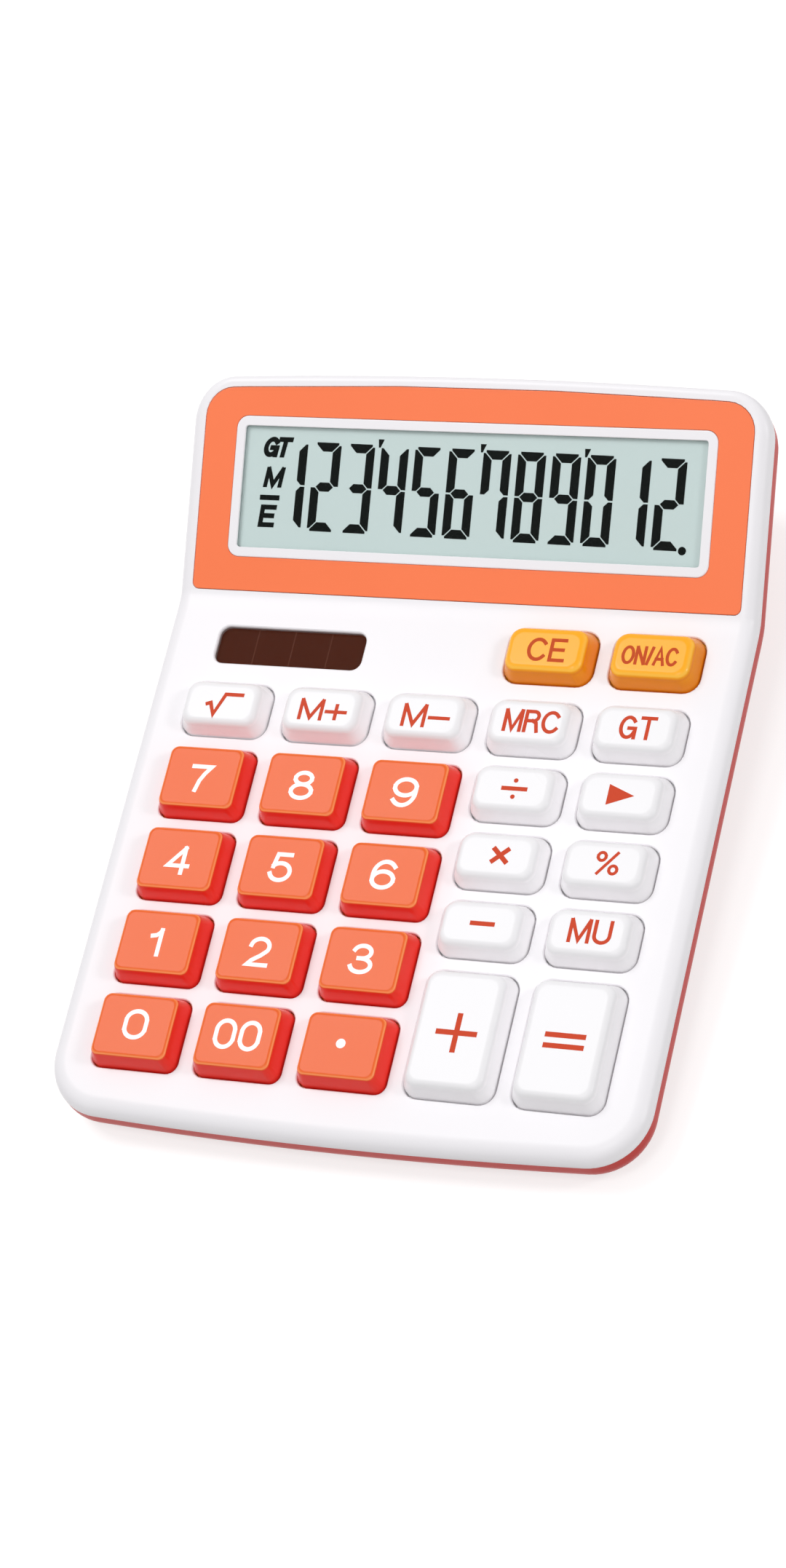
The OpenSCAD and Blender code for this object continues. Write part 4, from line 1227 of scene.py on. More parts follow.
GLYPHS: dict[str, Glyph] = {
    "0": Glyph(0.66, [
        [(0.66, 0.32), *arc(0.33, 0.64, 0.33, 0.36, 0, 180), (0, 0.32)],
        [(0, 0.64), *arc(0.33, 0.36, 0.33, 0.36, 180, 360), (0.66, 0.64)],
    ]),
    "1": Glyph(0.34, [
        [(0.34, 0), (0.34, 1)], [(0, 0.75), (0.15, 0.78), (0.27, 0.87), (0.33, 0.98)],
    ]),
    "2": Glyph(0.64, [
        [*arc(0.32, 0.70, 0.31, 0.30, 172, -32), (0.40, 0.36), (0.13, 0.16), (0.0, 0), (0.64, 0)],
    ]),
    "3": Glyph(0.64, [
        [*arc(0.31, 0.76, 0.27, 0.24, 162, -90), (0.22, 0.52)],
        [(0.22, 0.52), *arc(0.32, 0.26, 0.32, 0.26, 90, -166)],
    ]),
    "4": Glyph(0.76, [[(0.56, 0), (0.56, 1)], [(0.56, 1), (0, 0.28), (0.76, 0.28)]]),
    "5": Glyph(0.64, [
        [(0.58, 1), (0.14, 1), (0.06, 0.52)], arc(0.31, 0.33, 0.33, 0.33, 136, -163),
    ]),
    "6": SIX,
    "7": Glyph(0.62, [[(0, 1), (0.62, 1), (0.43, 0.70), (0.30, 0.40), (0.22, 0)]]),
    "8": Glyph(0.64, [*ring_of(0.32, 0.77, 0.26, 0.23), *ring_of(0.32, 0.27, 0.32, 0.27)]),
    "9": half_turned(SIX),
    ".": Glyph(0.0, dots=[(0, 0.5, 0.18)]),
    "+": Glyph(0.72, [[(0, 0.42), (0.72, 0.42)], [(0.36, 0.06), (0.36, 0.78)]]),
    "-": Glyph(0.72, [[(0, 0.42), (0.72, 0.42)]]),
    "/": Glyph(0.30, [[(0, 0), (0.30, 1)]]),
    "A": Glyph(0.72, [[(0, 0), (0.36, 1), (0.72, 0)], [(0.12, 0.32), (0.60, 0.32)]]),
    "C": Glyph(0.76, [arc(0.40, 0.5, 0.40, 0.5, 40, 320)]),
    "E": Glyph(0.60, [[(0.60, 1), (0, 1), (0, 0), (0.60, 0)], [(0, 0.52), (0.54, 0.52)]]),
    "G": Glyph(0.80, [arc(0.40, 0.5, 0.40, 0.5, 40, 338), [(0.80, 0), (0.80, 0.46), (0.46, 0.46)]]),
    "M": Glyph(0.80, [
        [(0, 0), (0, 1)], [(0.80, 0), (0.80, 1)], [(0.02, 1), (0.40, 0.04), (0.78, 1)],
    ]),
    "N": Glyph(0.68, [[(0, 0), (0, 1)], [(0.68, 0), (0.68, 1)], [(0.02, 1), (0.66, 0)]]),
    "O": Glyph(0.82, ring_of(0.41, 0.5, 0.41, 0.5)),
    "R": Glyph(0.66, [
        [(0, 0), (0, 1)], [(0, 1), *arc(0.38, 0.76, 0.24, 0.24, 90, -90), (0, 0.52)],
        [(0.36, 0.52), (0.54, 0.42), (0.59, 0.20), (0.64, 0)],
    ]),
    "T": Glyph(0.72, [[(0, 1), (0.72, 1)], [(0.36, 0), (0.36, 1)]]),
    "U": Glyph(0.66, [[(0, 1), *arc(0.33, 0.33, 0.33, 0.33, 180, 360), (0.66, 1)]]),
    "root": Glyph(1.45, [[(0, 0.50), (0.14, 0.56), (0.36, 0), (0.72, 1), (1.45, 1)]]),
    "cross": Glyph(1.0, [[(0, 0), (1, 1)], [(0, 1), (1, 0)]]),
    "plus": Glyph(1.04, [[(0, 0.5), (1.04, 0.5)], [(0.52, 0), (0.52, 1)]]),
    "equals": Glyph(1.0, [[(0, 1), (1, 1)], [(0, 0), (1, 0)]]),
    "dash": Glyph(1.0, [[(0, 0.5), (1, 0.5)]]),
    "divide": Glyph(1.15, [[(0, 0.5), (1.15, 0.5)]], [(0.575, 0.98, 0.13), (0.575, 0.02, 0.13)]),
    "percent": Glyph(0.92, [
        *ring_of(0.18, 0.80, 0.17, 0.19), *ring_of(0.76, 0.20, 0.17, 0.19), [(0.10, 0), (0.84, 1)],
    ]),
    "back": Glyph(1.25, fills=[[(0, 0), (1.25, 0.5), (0, 1)]]),
}


def pen_line(points: Sequence[Point], pen: float) -> list[Point]:
    """Outline of a pen stroke of even width with square ends.

    Args:
        points: The middle of the stroke.
        pen: The stroke's width.

    Returns:
        The outline's points, up one side and down the other.
    """
    half = pen / 2
    line = [Vector(p) for p in points]
    line[0] = line[0] - (line[1] - line[0]).normalized() * half
    line[-1] = line[-1] + (line[-1] - line[-2]).normalized() * half
    left, right = [], []
    for k, point in enumerate(line):
        before = (point - line[k - 1]).normalized() if k else (line[1] - point).normalized()
        after = (line[k + 1] - point).normalized() if k + 1 < len(line) else before
        way = (before + after).normalized()
        side = Vector((-way.y, way.x)) * half / max(way.dot(after), SHARPEST)
        left.append(tuple(point + side))
        right.append(tuple(point - side))
    return left + right[::-1]


@dataclass(frozen=True)
class Print:
    """Lettering: its signs, its size, pen and place in millimetres, its spacing and its slant."""

    signs: Sequence[str]
    height: float
    width: float
    pen: float
    middle: Point = (0.0, 0.0)
    gap: float = 0.28
    slant: float = 0.0

    @property
    def lean(self) -> float:
        """How far the signs lean to the right for each millimetre of height."""
        return math.tan(math.radians(self.slant))

    @property
    def stretch(self) -> float:
        """How much wider than drawn the signs are, so that the print has its width."""
        drawn = sum(GLYPHS[sign].width for sign in self.signs)
        room = (self.width - self.pen) / (self.height - self.pen) - self.lean
        return (room - self.gap * (len(self.signs) - 1)) / drawn if drawn else 1.0

    def outlines(self) -> list[list[Point]]:
        """Outlines of every stroke, dot and fill, round the print's middle.

        Returns:
            The outlines, in millimetres.
        """
        tall = self.height - self.pen
        made, wide = [], 0.0
        for sign in self.signs:
            made += self._sign(GLYPHS[sign], wide, tall)
            wide += (GLYPHS[sign].width * self.stretch + self.gap) * tall
        half, up = (wide - self.gap * tall) / 2, tall / 2
        cx, cy = self.middle
        return [
            [(x - half + (y - up) * self.lean + cx, y - up + cy) for x, y in outline]
            for outline in made
        ]

    def _sign(self, glyph: Glyph, x: float, tall: float) -> list[list[Point]]:
        """Outlines of one sign.

        Args:
            glyph: The sign.
            x: Where it starts.
            tall: How far its highest pen point lies over its lowest.

        Returns:
            The outlines, from the print's left end.
        """

        def put(points: Sequence[Point]) -> list[Point]:
            """Points of the sign in millimetres."""
            return [(x + px * self.stretch * tall, py * tall) for px, py in points]

        strokes = [pen_line(put(stroke), self.pen) for stroke in glyph.strokes]
        fills = [put(fill) for fill in glyph.fills]
        for px, py, share in glyph.dots:
            fills.append(arc(*put([(px, py)])[0], share * tall, share * tall, 0, DOT_END))
        return strokes + fills

    def build(self, name: str, place: Matrix, low: float, high: float) -> Piece:
        """Make the print as one thin solid.

        Args:
            name: The piece's name.
            place: Carries local millimetres to the frame's metres.
            low: The print's underside.
            high: Its top.

        Returns:
            The print.
        """
        strokes = [prism(name, outline, place, low, high) for outline in self.outlines()]
        piece = joined(name, strokes)
        if len(strokes) > 1:
            with editing(piece):
                bpy.ops.mesh.intersect_boolean(operation="UNION", use_self=True, solver="EXACT")
        return piece


# ---- Keys ----


class Kind(Enum):
    """The three makes of key, each with its finish and the slot of the same name."""

    FIGURE = "key_orange"
    FUNCTION = "key_white"
    CLEAR = "key_yellow"


@dataclass(frozen=True)
class Cap:
    """Form of a key cap over the deck."""

    corner: float
    edge: float
    slim: float = 0.0
    corner_fall: float = 0.4
    draft: float = 0.8
    height: float = 3.7
    upright: float = 0.3
    flange_out: float = 0.8
    flange_low: float = 2.8
    flange_top: float = 1.9

    @property
    def profile(self) -> Profile:
        """Pairs of height over the deck and inset, from the flange to the top."""
        low, top, out = -self.flange_low, -self.flange_top, -self.flange_out
        edge = fillet(self.edge, 8)
        rise = [(self.height - depth, self.draft + inset) for depth, inset in edge]
        return [(low, out), (top, out), (top, 0.0), (self.upright, 0.0), *rise]


@dataclass(frozen=True)
class Make:
    """What the keys of one make share: their cap, their ink and a slot's name."""

    cap: Cap
    ink: str
    slot: str


MAKES = {
    Kind.FIGURE: Make(Cap(corner=1.9, edge=0.8, slim=0.3), "print_white", "housing_white"),
    Kind.FUNCTION: Make(Cap(corner=2.8, edge=1.5), "print_rust", "shell_red"),
    Kind.CLEAR: Make(Cap(corner=2.8, edge=1.5), "print_brown", "shell_red"),
}
FIGURE_PEN = 0.86
LETTER_PEN = 0.72
LEGENDS = {
    Kind.FIGURE: {
        "0": Print("0", 6.1, 5.1, FIGURE_PEN, (0.3, 0.3)),
        "00": Print("00", 6.1, 9.6, FIGURE_PEN, (0.2, 0.15)),
        "point": Print(".", 6.1, 1.9, FIGURE_PEN, (-0.15, 0.4)),
        "1": Print("1", 5.8, 2.6, FIGURE_PEN, (-0.2, -0.15)),
        "2": Print("2", 6.1, 4.7, FIGURE_PEN, (0.2, -0.3)),
        "3": Print("3", 6.1, 4.9, FIGURE_PEN, (-0.2, 0.05)),
        "4": Print("4", 5.9, 5.0, FIGURE_PEN, (0.1, -0.4)),
        "5": Print("5", 6.1, 4.8, FIGURE_PEN, (0.25, -0.2)),
        "6": Print("6", 6.1, 5.1, FIGURE_PEN, (0.0, -0.05)),
        "7": Print("7", 5.8, 4.6, FIGURE_PEN, (0.0, -0.4)),
        "8": Print("8", 6.1, 5.0, FIGURE_PEN, (0.25, -0.35)),
        "9": Print("9", 6.2, 5.2, FIGURE_PEN, (0.15, -0.3)),
    },
    Kind.FUNCTION: {
        "plus": Print(["plus"], 7.7, 8.1, 1.04, (0.55, -0.65)),
        "equals": Print(["equals"], 3.1, 7.9, 1.0, (0.25, -0.3)),
        "minus": Print(["dash"], 1.9, 4.9, 0.9, (0.55, 0.05)),
        "markup": Print("MU", 4.8, 8.4, LETTER_PEN, (0.45, 0.25)),
        "times": Print(["cross"], 3.3, 3.5, 0.95, (0.85, 0.05)),
        "percent": Print(["percent"], 4.8, 4.7, 0.6, (0.7, 0.1)),
        "divide": Print(["divide"], 4.3, 5.2, 0.85, (0.5, -0.15)),
        "back": Print(["back"], 4.3, 5.3, 0.1, (0.35, 0.0)),
        "root": Print(["root"], 5.1, 7.7, 0.78, (0.75, -0.5)),
        "memory_plus": Print("M+", 4.5, 10.0, LETTER_PEN, (0.55, -0.35)),
        "memory_minus": Print("M-", 4.8, 9.8, LETTER_PEN, (0.65, -0.25)),
        "memory_recall": Print("MRC", 4.7, 11.3, LETTER_PEN, (0.8, 0.0), 0.24),
        "grand_total": Print("GT", 4.8, 7.2, LETTER_PEN, (0.6, 0.0)),
    },
    Kind.CLEAR: {
        "clear_entry": Print("CE", 4.9, 7.8, LETTER_PEN, (0.35, -0.2)),
        "power": Print("ON/AC", 3.9, 11.2, 0.62, (-0.2, -0.3), 0.2),
    },
}
KEYS = [
    (f"key_{name}", kind, legend)
    for kind, legends in LEGENDS.items()
    for name, legend in legends.items()
]


@dataclass
class Keypad(Part):
    """All the keys, each on its own body."""

    angle: float = 50.0
    print_under: float = 0.1
    print_over: float = 0.02
    made: dict[tuple, tuple[Piece, Vector]] = field(default_factory=dict)

    def sizes(self, node: str, cap: Cap) -> tuple[Vector, float, float]:
        """Read a cap's place and size from its node.

        Args:
            node: The CAD node.
            cap: The cap's form.

        Returns:
            Its middle on the key deck, its width and its depth, in millimetres.
        """
        back = self.decks.keys.inverted()
        spots = [back @ v.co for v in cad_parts[node].data.vertices]
        (west, east), (south, north) = (
            (min(spot[axis] for spot in spots), max(spot[axis] for spot in spots))
            for axis in range(2)
        )
        out = 2 * cap.flange_out
        middle = Vector(((west + east) / 2, (south + north) / 2, 0))
        return middle, east - west - out - 2 * cap.slim, north - south - out

    def moulded(self, name: str, node: str, cap: Cap, profile: Profile, grow: float) -> Piece:
        """Make a solid on a key's outline. It is modelled once for each size, then copied.

        Args:
            name: The piece's name.
            node: The key's CAD node.
            cap: The cap's form.
            profile: Pairs of height and inset.
            grow: How far it stands out round the cap; 0 for the cap itself.

        Returns:
            The solid, shaded smooth if it is a cap.
        """
        middle, width, depth = self.sizes(node, cap)
        size = (cap, grow, round(width, 2), round(depth, 2))
        if size in self.made:
            first, spot = self.made[size]
            return copied(first, name, self.decks.keys.to_3x3() @ (middle - spot))
        place = self.decks.keys @ Matrix.Translation(middle)
        fall = 1.0 if grow else cap.corner_fall
        shape = rounded_rect(width + 2 * grow, depth + 2 * grow, cap.corner + grow, 6, fall)
        piece = solid(name, shape, place, profile)
        if not grow:
            smoothed(piece, self.angle)
        self.made[size] = piece, middle
        return piece

    def openings(self, gap: float, rim: float, through: float) -> list[Piece]:
        """Make the tools that cut the keys' openings in the deck, with rounded rims.

        Args:
            gap: How much wider than its key an opening is on each side.
            rim: Its rim's rounding.
            through: How deep it is cut.

        Returns:
            The tools.
        """
        profile = flared(-through, 0.0, rim)
        return [
            self.moulded("opening", node, MAKES[kind].cap, profile, gap) for node, kind, _ in KEYS
        ]

    def build(self) -> None:
        """Make every key's cap and its print, both on the key's own body."""
        for node, kind, legend in KEYS:
            make, cap = MAKES[kind], MAKES[kind].cap
            piece = self.moulded(f"{node}_cap", node, cap, cap.profile, 0.0)
            self.paints.fit(piece, kind.value, node, kind.value, node)
            place = self.decks.keys @ Matrix.Translation(self.sizes(node, cap)[0])
            low, high = cap.height - self.print_under, cap.height + self.print_over
            piece = legend.build(f"{node}_print", place, low, high)
            self.paints.fit(piece, make.ink, node, make.slot)


# ---- Display ----


@dataclass
class Display(Part):
    """The orange panel, the white window frame and the glass's room."""

    half_width: float = CAD_BOX[1][0] / MM
    window: Pair = (95.8, 23.8)
    window_corner: Corner = (0.6, 4)
    window_rim: float = 0.15
    frame_width: float = 1.9
    frame_middle: float = 22.0
    frame_corner: Corner = (2.4, 8)
    frame_edge: float = 0.25
    frame_over: float = 0.1
    ledge: float = 0.8
    ledge_corner: Corner = (1.4, 4)
    ledge_top: float = -0.3
    panel_start: float = 1.6
    panel_length: float = 40.8
    panel_margin: float = 3.3
    panel_thick: float = 0.8
    panel_corner: float = 5.7
    panel_low_corner: float = 1.3
    panel_edge: float = 0.15
    panel_rim: float = 0.1
    bow: float = 1.4
    bow_share: float = 0.94
    play: float = 0.1
    pocket_rim: float = 0.12
    through: float = -2.0
    glass_play: float = 0.3
    glass_size: Pair = (100.0, 29.0)
    glass_middle: float = 20.5
    glass_top: float = -0.4

    def panel_shape(self, inset: float) -> list[Point]:
        """Outline of the orange panel on the display deck.

        Args:
            inset: How far it is drawn in.

        Returns:
            The points, in millimetres.
        """
        half = self.half_width - self.panel_margin - inset
        low, top = self.panel_start + inset, self.panel_start + self.panel_length - inset
        low_r, r = self.panel_low_corner - inset, self.panel_corner - inset
        bow = bow_radius(half, self.bow)
        turn = math.degrees(math.asin((half - r) / (bow - r)))
        drop = bow - math.sqrt((bow - r) ** 2 - (half - r) ** 2)
        right = arc(half - r, top - drop, r, r, 0, 90 - turn)
        reach = turn * self.bow_share
        over = arc(0, top - bow, bow, bow, 90 - reach, 90 + reach)
        bottom = arc(-half + low_r, low + low_r, low_r, low_r, 180, 270)
        bottom += arc(half - low_r, low + low_r, low_r, low_r, 270, 360)
        return bottom + right + over + [(-x, y) for x, y in reversed(right)]

    def pane(self, name: str, grow: float, corner: Corner, profile: Profile) -> Piece:
        """Make a solid round the window.

        Args:
            name: The piece's name.
            grow: How much larger than the window it is on each side.
            corner: Its corners' radius, and how many facets they have.
            profile: Pairs of height and inset.

        Returns:
            The solid.
        """
        wide, deep = (size + 2 * grow for size in self.window)
        place = self.decks.display @ Matrix.Translation((0, self.frame_middle, 0))
        return solid(name, rounded_rect(wide, deep, *corner), place, profile)

    def openings(self, through: float) -> list[Piece]:
        """Make the tools that let the panel and the glass into the display deck.

        Args:
            through: How deep the glass's room is cut.

        Returns:
            The tools.
        """
        profile = flared(-self.panel_thick, 0.0, self.pocket_rim)
        pocket = solid(
            "pocket", lambda inset: self.panel_shape(inset - self.play), self.decks.display, profile
        )
        wide, deep = (size + self.glass_play for size in self.glass_size)
        place = self.decks.display @ Matrix.Translation((0, self.glass_middle, 0))
        shape = rounded_rect(wide, deep, self.glass_play, 2)
        return [pocket, solid("glass_room", shape, place, [(-through, 0), (self.glass_top, 0)])]

    def build_panel(self) -> None:
        """Make the orange panel, with its opening for the frame."""
        profile = rounded_top(-self.panel_thick, 0.0, self.panel_edge, 3)
        piece = solid("display_panel_plate", self.panel_shape, self.decks.display, profile)
        hole = flared(self.through, 0.0, self.panel_rim)
        grow = self.frame_width + self.play / 2
        combine(piece, self.pane("hole", grow, self.frame_corner, hole), "DIFFERENCE")
        self.paints.fit(smoothed(piece), "panel_orange", CASING, "panel_orange", "display_panel")

    def build_frame(self) -> None:
        """Make the white frame, with the ledge that the lens sits on."""
        profile = rounded_top(-self.panel_thick, self.frame_over, self.frame_edge, 4)
        hole = flared(self.through, self.frame_over, self.window_rim)
        ledge = [(self.through, 0), (self.ledge_top, 0)]
        piece = self.pane("window_frame_ring", self.frame_width, self.frame_corner, profile)
        combine(piece, self.pane("hole", 0.0, self.window_corner, hole), "DIFFERENCE")
        combine(piece, self.pane("ledge", self.ledge, self.ledge_corner, ledge), "DIFFERENCE")
        self.paints.fit(smoothed(piece), "shell_white", CASING, "housing_white", "window_frame")


class Segment(Enum):
    """The seven bars of a figure on the display, as in a seven-segment digit."""

    TOP = "a"
    UPPER_RIGHT = "b"
    LOWER_RIGHT = "c"
    BOTTOM = "d"
    LOWER_LEFT = "e"
    UPPER_LEFT = "f"
    MIDDLE = "g"


SHOWN = {
    "0": "abcdef", "1": "bc", "2": "abged", "3": "abgcd", "4": "fgbc", "5": "afgcd",
    "6": "afgedc", "7": "fabc", "8": "abcdefg", "9": "abcdfg",
}


@dataclass
class Figures(Part):
    """What the display shows: a row of figures, three marks, a point and the flags."""

    text: str = "123456789012"
    left: float = -40.5
    pitch: float = 7.12
    low: float = 13.5
    width: float = 5.75
    height: float = 17.3
    bar: float = 1.75
    gap: float = 0.16
    blunt: float = 0.4
    lean: float = math.tan(math.radians(1.0))
    fall: float = math.tan(math.radians(0.6))
    marked: Sequence[int] = (3, 6, 9)
    mark: Sequence[Point] = ((-0.75, 18.4), (0.45, 18.4), (-0.25, 16.8), (-0.6, 16.8))
    point: Point = (6.3, 0.1)
    point_radius: float = 0.8
    top: float = -0.86
    under: float = -0.92
    flags: Sequence[Print] = (
        Print("GT", 4.0, 6.5, 0.95, (-41.1, 29.9), 0.16, 12),
        Print("M", 4.0, 4.5, 0.85, (-41.35, 24.0), slant=10),
        Print(["dash"], 2.0, 4.2, 1.0, (-42.0, 20.0)),
        Print("E", 4.4, 3.8, 0.95, (-42.2, 16.4), slant=6),
    )

    def bars(self) -> dict[Segment, list[Point]]:
        """Outlines of the seven bars, with mitred ends and blunt tips.

        Returns:
            The outlines, round a figure's lower left corner.
        """
        w, h, t, g, c = self.width, self.height, self.bar, self.gap, self.blunt
        m, e = h / 2, t / 2
        top = [
            (g + c, h), (w - g - c, h), (w - g - c, h - c),
            (w - g - t, h - t), (g + t, h - t), (g + c, h - c),
        ]
        upper = [
            (0, h - g - c), (c, h - g - c), (t, h - g - t),
            (t, m + e + g), (e, m + g), (0, m + g),
        ]
        middle = [
            (e + g, m), (t + g, m + e), (w - t - g, m + e),
            (w - e - g, m), (w - t - g, m - e), (t + g, m - e),
        ]
        return {
            Segment.TOP: top,
            Segment.BOTTOM: [(x, h - y) for x, y in top],
            Segment.UPPER_LEFT: upper,
            Segment.LOWER_LEFT: [(x, h - y) for x, y in upper],
            Segment.UPPER_RIGHT: [(w - x, y) for x, y in upper],
            Segment.LOWER_RIGHT: [(w - x, h - y) for x, y in upper],
            Segment.MIDDLE: middle,
        }

    def placed(self, points: Sequence[Point], column: int) -> list[Point]:
        """Put a figure's points in their column on the display deck.

        Args:
            points: The points, from the figure's lower left corner.
            column: The column, from 0 at the left.

        Returns:
            The points, in millimetres.
        """
        start = self.left + self.pitch * column
        spots = [(start + x + (y - self.height / 2) * self.lean, y) for x, y in points]
        return [(x, self.low + y - x * self.fall) for x, y in spots]

    def build(self) -> None:
        """Make everything that the display shows as one thin piece."""
        bars = self.bars()
        outlines = [
            self.placed(bars[Segment(s)], column)
            for column, figure in enumerate(self.text)
            for s in SHOWN[figure]
        ]
        outlines += [self.placed(self.mark, column) for column in self.marked]
        dot = arc(*self.point, self.point_radius, self.point_radius, 0, DOT_END)
        outlines.append(self.placed(dot, len(self.text) - 1))
        place = self.decks.display
        pieces = [prism("bar", outline, place, self.under, self.top) for outline in outlines]
        pieces += [flag.build("flag", place, self.under, self.top) for flag in self.flags]
        piece = joined("display_figures", pieces)
        self.paints.fit(piece, "display_ink", CASING, "lcd_glass")


@dataclass
class SolarStrip(Part):
    """The solar cell under its tinted pane, with lines between its four cells."""

    middle: Point = (-32.9, 98.8)
    size: Pair = (31.2, 8.0)
    corner: float = 2.0
    rim: float = 0.4
    margin: Pair = (2.4, 1.8)
    top: float = -1.25
    thick: float = 1.1
    plate_corner: float = 0.3
    plate_edge: float = 0.1
    line: float = 0.22
    line_under: float = 0.05
    line_over: float = 0.02
    pane_play: float = 0.1
    pane_heights: Pair = (-1.2, -0.5)
    pane_edge: float = 0.15

    def part(self, name: str, size: Sequence[float], corner: Corner, profile: Profile) -> Piece:
        """Make a solid round the strip's middle.

        Args:
            name: The piece's name.
            size: Its width and depth.
            corner: Its corners' radius, and how many facets they have.
            profile: Pairs of height and inset.

        Returns:
            The solid.
        """
        place = self.decks.keys @ Matrix.Translation((*self.middle, 0))
        return solid(name, rounded_rect(*size, *corner), place, profile)

    def opening(self, through: float) -> Piece:
        """Make the tool that cuts the strip's window in the deck, with a rounded rim."""
        return self.part("solar_hole", self.size, (self.corner, 6), flared(-through, 0, self.rim))

    def build(self) -> None:
        """Make the cell's plate with its three raised lines, and the tinted pane."""
        (wide, deep), top = self.size, self.top
        size = [side + more for side, more in zip(self.size, self.margin)]
        profile = rounded_top(top - self.thick, top, self.plate_edge, 2)
        cell = self.part("solar_cell_plate", size, (self.plate_corner, 2), profile)
        self.paints.fit(smoothed(cell), "solar_film", CASING, "solar_film", "solar_cell")
        profile = [(top - self.line_under, 0), (top + self.line_over, 0)]
        first = self.part("line", (self.line, deep), (LEAST_RADIUS, 1), profile)
        step = Vector((wide / 4 * MM, 0, 0))
        lines = [copied(first, "line", -step), first, copied(first, "line", step)]
        self.paints.fit(joined("solar_lines", lines), "solar_line", CASING, "solar_film")
        size = (wide - self.pane_play, deep - self.pane_play)
        corner = (self.corner - self.pane_play / 2, 6)
        profile = rounded_top(*self.pane_heights, self.pane_edge, 3)
        pane = self.part("solar_window_pane", size, corner, profile)
        self.paints.fit(smoothed(pane), "tinted_pane", CASING, "solar_tint", "solar_window")


CARRIED_OVER = {
    "display_lens": "clear_pane",
    "lcd_front_glass": "display_film",
    "lcd_rear_glass": "display_film",
    "lcd_reflector": "inner_grey",
    "lcd_holder": "inner_grey",
    "lcd_ribbon": "film_amber",
    "solar_leads": "wire_red",
    "rubber_keymat": "silicone",
    "carbon_pills": "carbon",
    "circuit_board": "laminate",
    "chip_cover": "resin",
    "board_capacitor": "sleeve",
    "board_resistors": "lacquer",
    "battery_cell": "cell_jacket",
    "battery_spring": "nickel",
    "battery_contacts": "nickel",
    "battery_leads": "wire_red",
    "housing_screws": "zinc",
    "board_screws": "zinc",
    "lcd_screws": "zinc",
}


# ---- Studio ----


@dataclass(frozen=True)
class Lamp:
    """A soft square lamp over the table, aimed at the object."""

    name: str
    place: Spot
    size: float
    watts: float

    def build(self, aim: Vector) -> None:
        """Hang the lamp and turn it to the object.

        Args:
            aim: The point that it looks at.
        """
        light = bpy.data.lights.new(self.name, "AREA")
        light.shape = "SQUARE"
        light.size = self.size
        light.energy = self.watts
        lamp = bpy.data.objects.new(self.name, light)
        lamp.location = self.place
        lamp.rotation_euler = (aim - Vector(self.place)).to_track_quat("-Z", "Y").to_euler()
        bpy.context.scene.collection.objects.link(lamp)


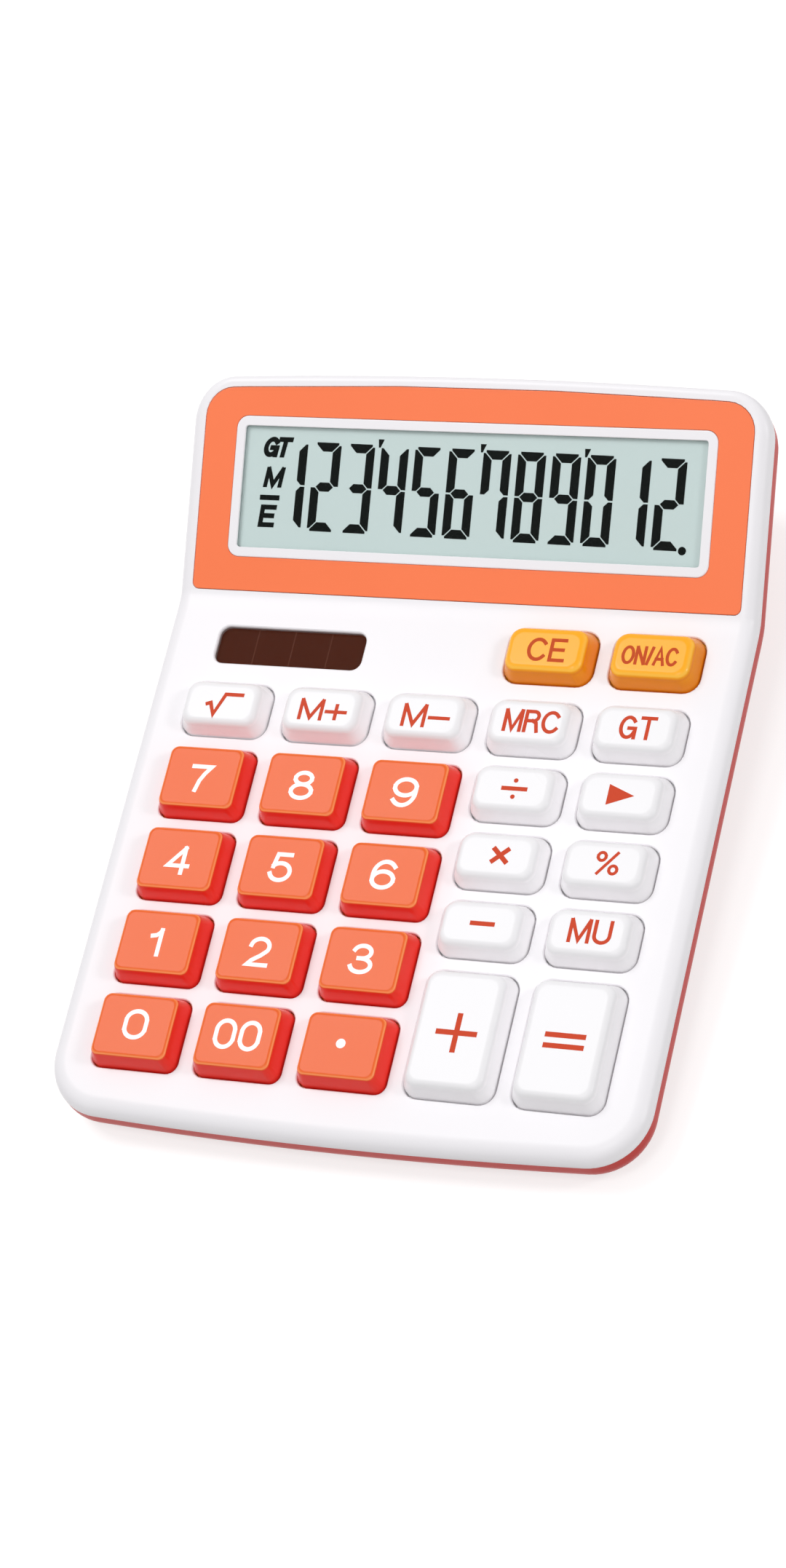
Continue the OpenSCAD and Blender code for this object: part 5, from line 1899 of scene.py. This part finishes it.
@dataclass(frozen=True)
class Studio:
    """Camera, floor, world and lamps."""

    camera_place: Spot = (325.30, -365.33, 674.08)
    camera_turn: Spot = (32.2255, 18.5364, 15.5425)
    focal_pixels: float = 6000.0
    frame_height: float = 2154.0
    film: float = 36.0
    ambient: float = 0.49
    floor_glow: float = 0.66
    floor_size: float = 6.0
    floor_grey: float = 0.5
    floor_roughness: float = 0.9
    floor_sheen: float = 0.1
    sky: Colour = (1.0, 0.995, 1.0)
    aim: Spot = (0.0, 0.0, 0.01)
    lamps: Sequence[Lamp] = (
        Lamp("soft_box", (-0.50, 0.22, 1.05), 0.5, 5.5),
        Lamp("side_box", (0.75, 0.05, 0.55), 0.16, 1.5),
        Lamp("front_box", (0.05, -0.45, 1.30), 0.35, 2.6),
    )

    def build(self) -> None:
        """Set up everything that isn't the object."""
        self._camera()
        self._floor()
        self._world()
        for lamp in self.lamps:
            lamp.build(Vector(self.aim))
        bpy.context.scene.view_settings.view_transform = "Standard"

    def _camera(self) -> None:
        """Stand the camera at its place and turn it to the object."""
        camera = bpy.data.cameras.new("camera")
        camera.sensor_fit = "VERTICAL"
        camera.sensor_height = self.film
        camera.lens = self.focal_pixels / self.frame_height * self.film
        holder = bpy.data.objects.new("camera", camera)
        holder.location = Vector(self.camera_place) * MM
        holder.rotation_euler = [math.radians(a) for a in self.camera_turn]
        bpy.context.scene.collection.objects.link(holder)
        bpy.context.scene.camera = holder

    def _floor(self) -> None:
        """Lay a plain pale floor that shows white, with the object's shadow on it."""
        bpy.ops.object.select_all(action="DESELECT")
        bpy.ops.mesh.primitive_plane_add(size=self.floor_size)
        floor = bpy.context.object
        floor.name = "floor"
        material = bpy.data.materials.new("floor_paper")
        material.use_nodes = True
        tree = material.node_tree
        shown = {0: self._shown(tree), 1: self.floor_glow}
        feed(tree, tree.nodes["Principled BSDF"], {
            "Base Color": (*[self.floor_grey] * 3, 1),
            "Roughness": self.floor_roughness,
            "Specular IOR Level": self.floor_sheen,
            "Emission Color": (1, 1, 1, 1),
            "Emission Strength": add_node(tree, "Math", shown, operation="MULTIPLY").outputs[0],
        })
        floor.data.materials.append(material)

    @staticmethod
    def _shown(tree: Tree) -> Socket:
        """Make a mask of the rays that show the background: straight, mirrored or through glass.

        Args:
            tree: The tree to add to.

        Returns:
            The mask's output.
        """
        path = add_node(tree, "LightPath").outputs
        mask = path["Is Camera Ray"]
        for kind in ("Is Glossy Ray", "Is Transmission Ray"):
            mask = add_node(tree, "Math", {0: mask, 1: path[kind]}, operation="MAXIMUM").outputs[0]
        return mask

    def _world(self) -> None:
        """Light everything evenly, and show white where nothing stands."""
        world = bpy.data.worlds.new("studio")
        bpy.context.scene.world = world
        world.use_nodes = True
        tree = world.node_tree
        strength = {"Value": self._shown(tree), "To Min": self.ambient, "To Max": 1.0}
        feed(tree, tree.nodes["Background"], {
            "Strength": add_node(tree, "MapRange", strength).outputs["Result"],
            "Color": (*self.sky, 1),
        })


def main() -> None:
    """Build the studio, the housing, the keys and the display, in order."""
    logging.basicConfig(level=logging.INFO, format="%(message)s")
    Studio().build()
    paints = Paints()
    decks = Decks()
    housing = Housing(decks, paints)
    underside = Underside(decks, paints)
    keypad = Keypad(decks, paints)
    display = Display(decks, paints)
    solar = SolarStrip(decks, paints)
    through = housing.through
    holes = keypad.openings(housing.key_gap, housing.key_rim, through)
    holes.append(solar.opening(through))
    housing.build_upper([joined("holes", holes), *display.openings(through)])
    housing.build_lower(underside)
    underside.build_door()
    underside.build_feet()
    display.build_panel()
    display.build_frame()
    Figures(decks, paints).build()
    solar.build()
    keypad.build()
    for node, finish in CARRIED_OVER.items():
        paints.dress(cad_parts[node], finish)
        LOG.info("%s: dressed as %s", node, finish)


if __name__ == "__main__":
    main()
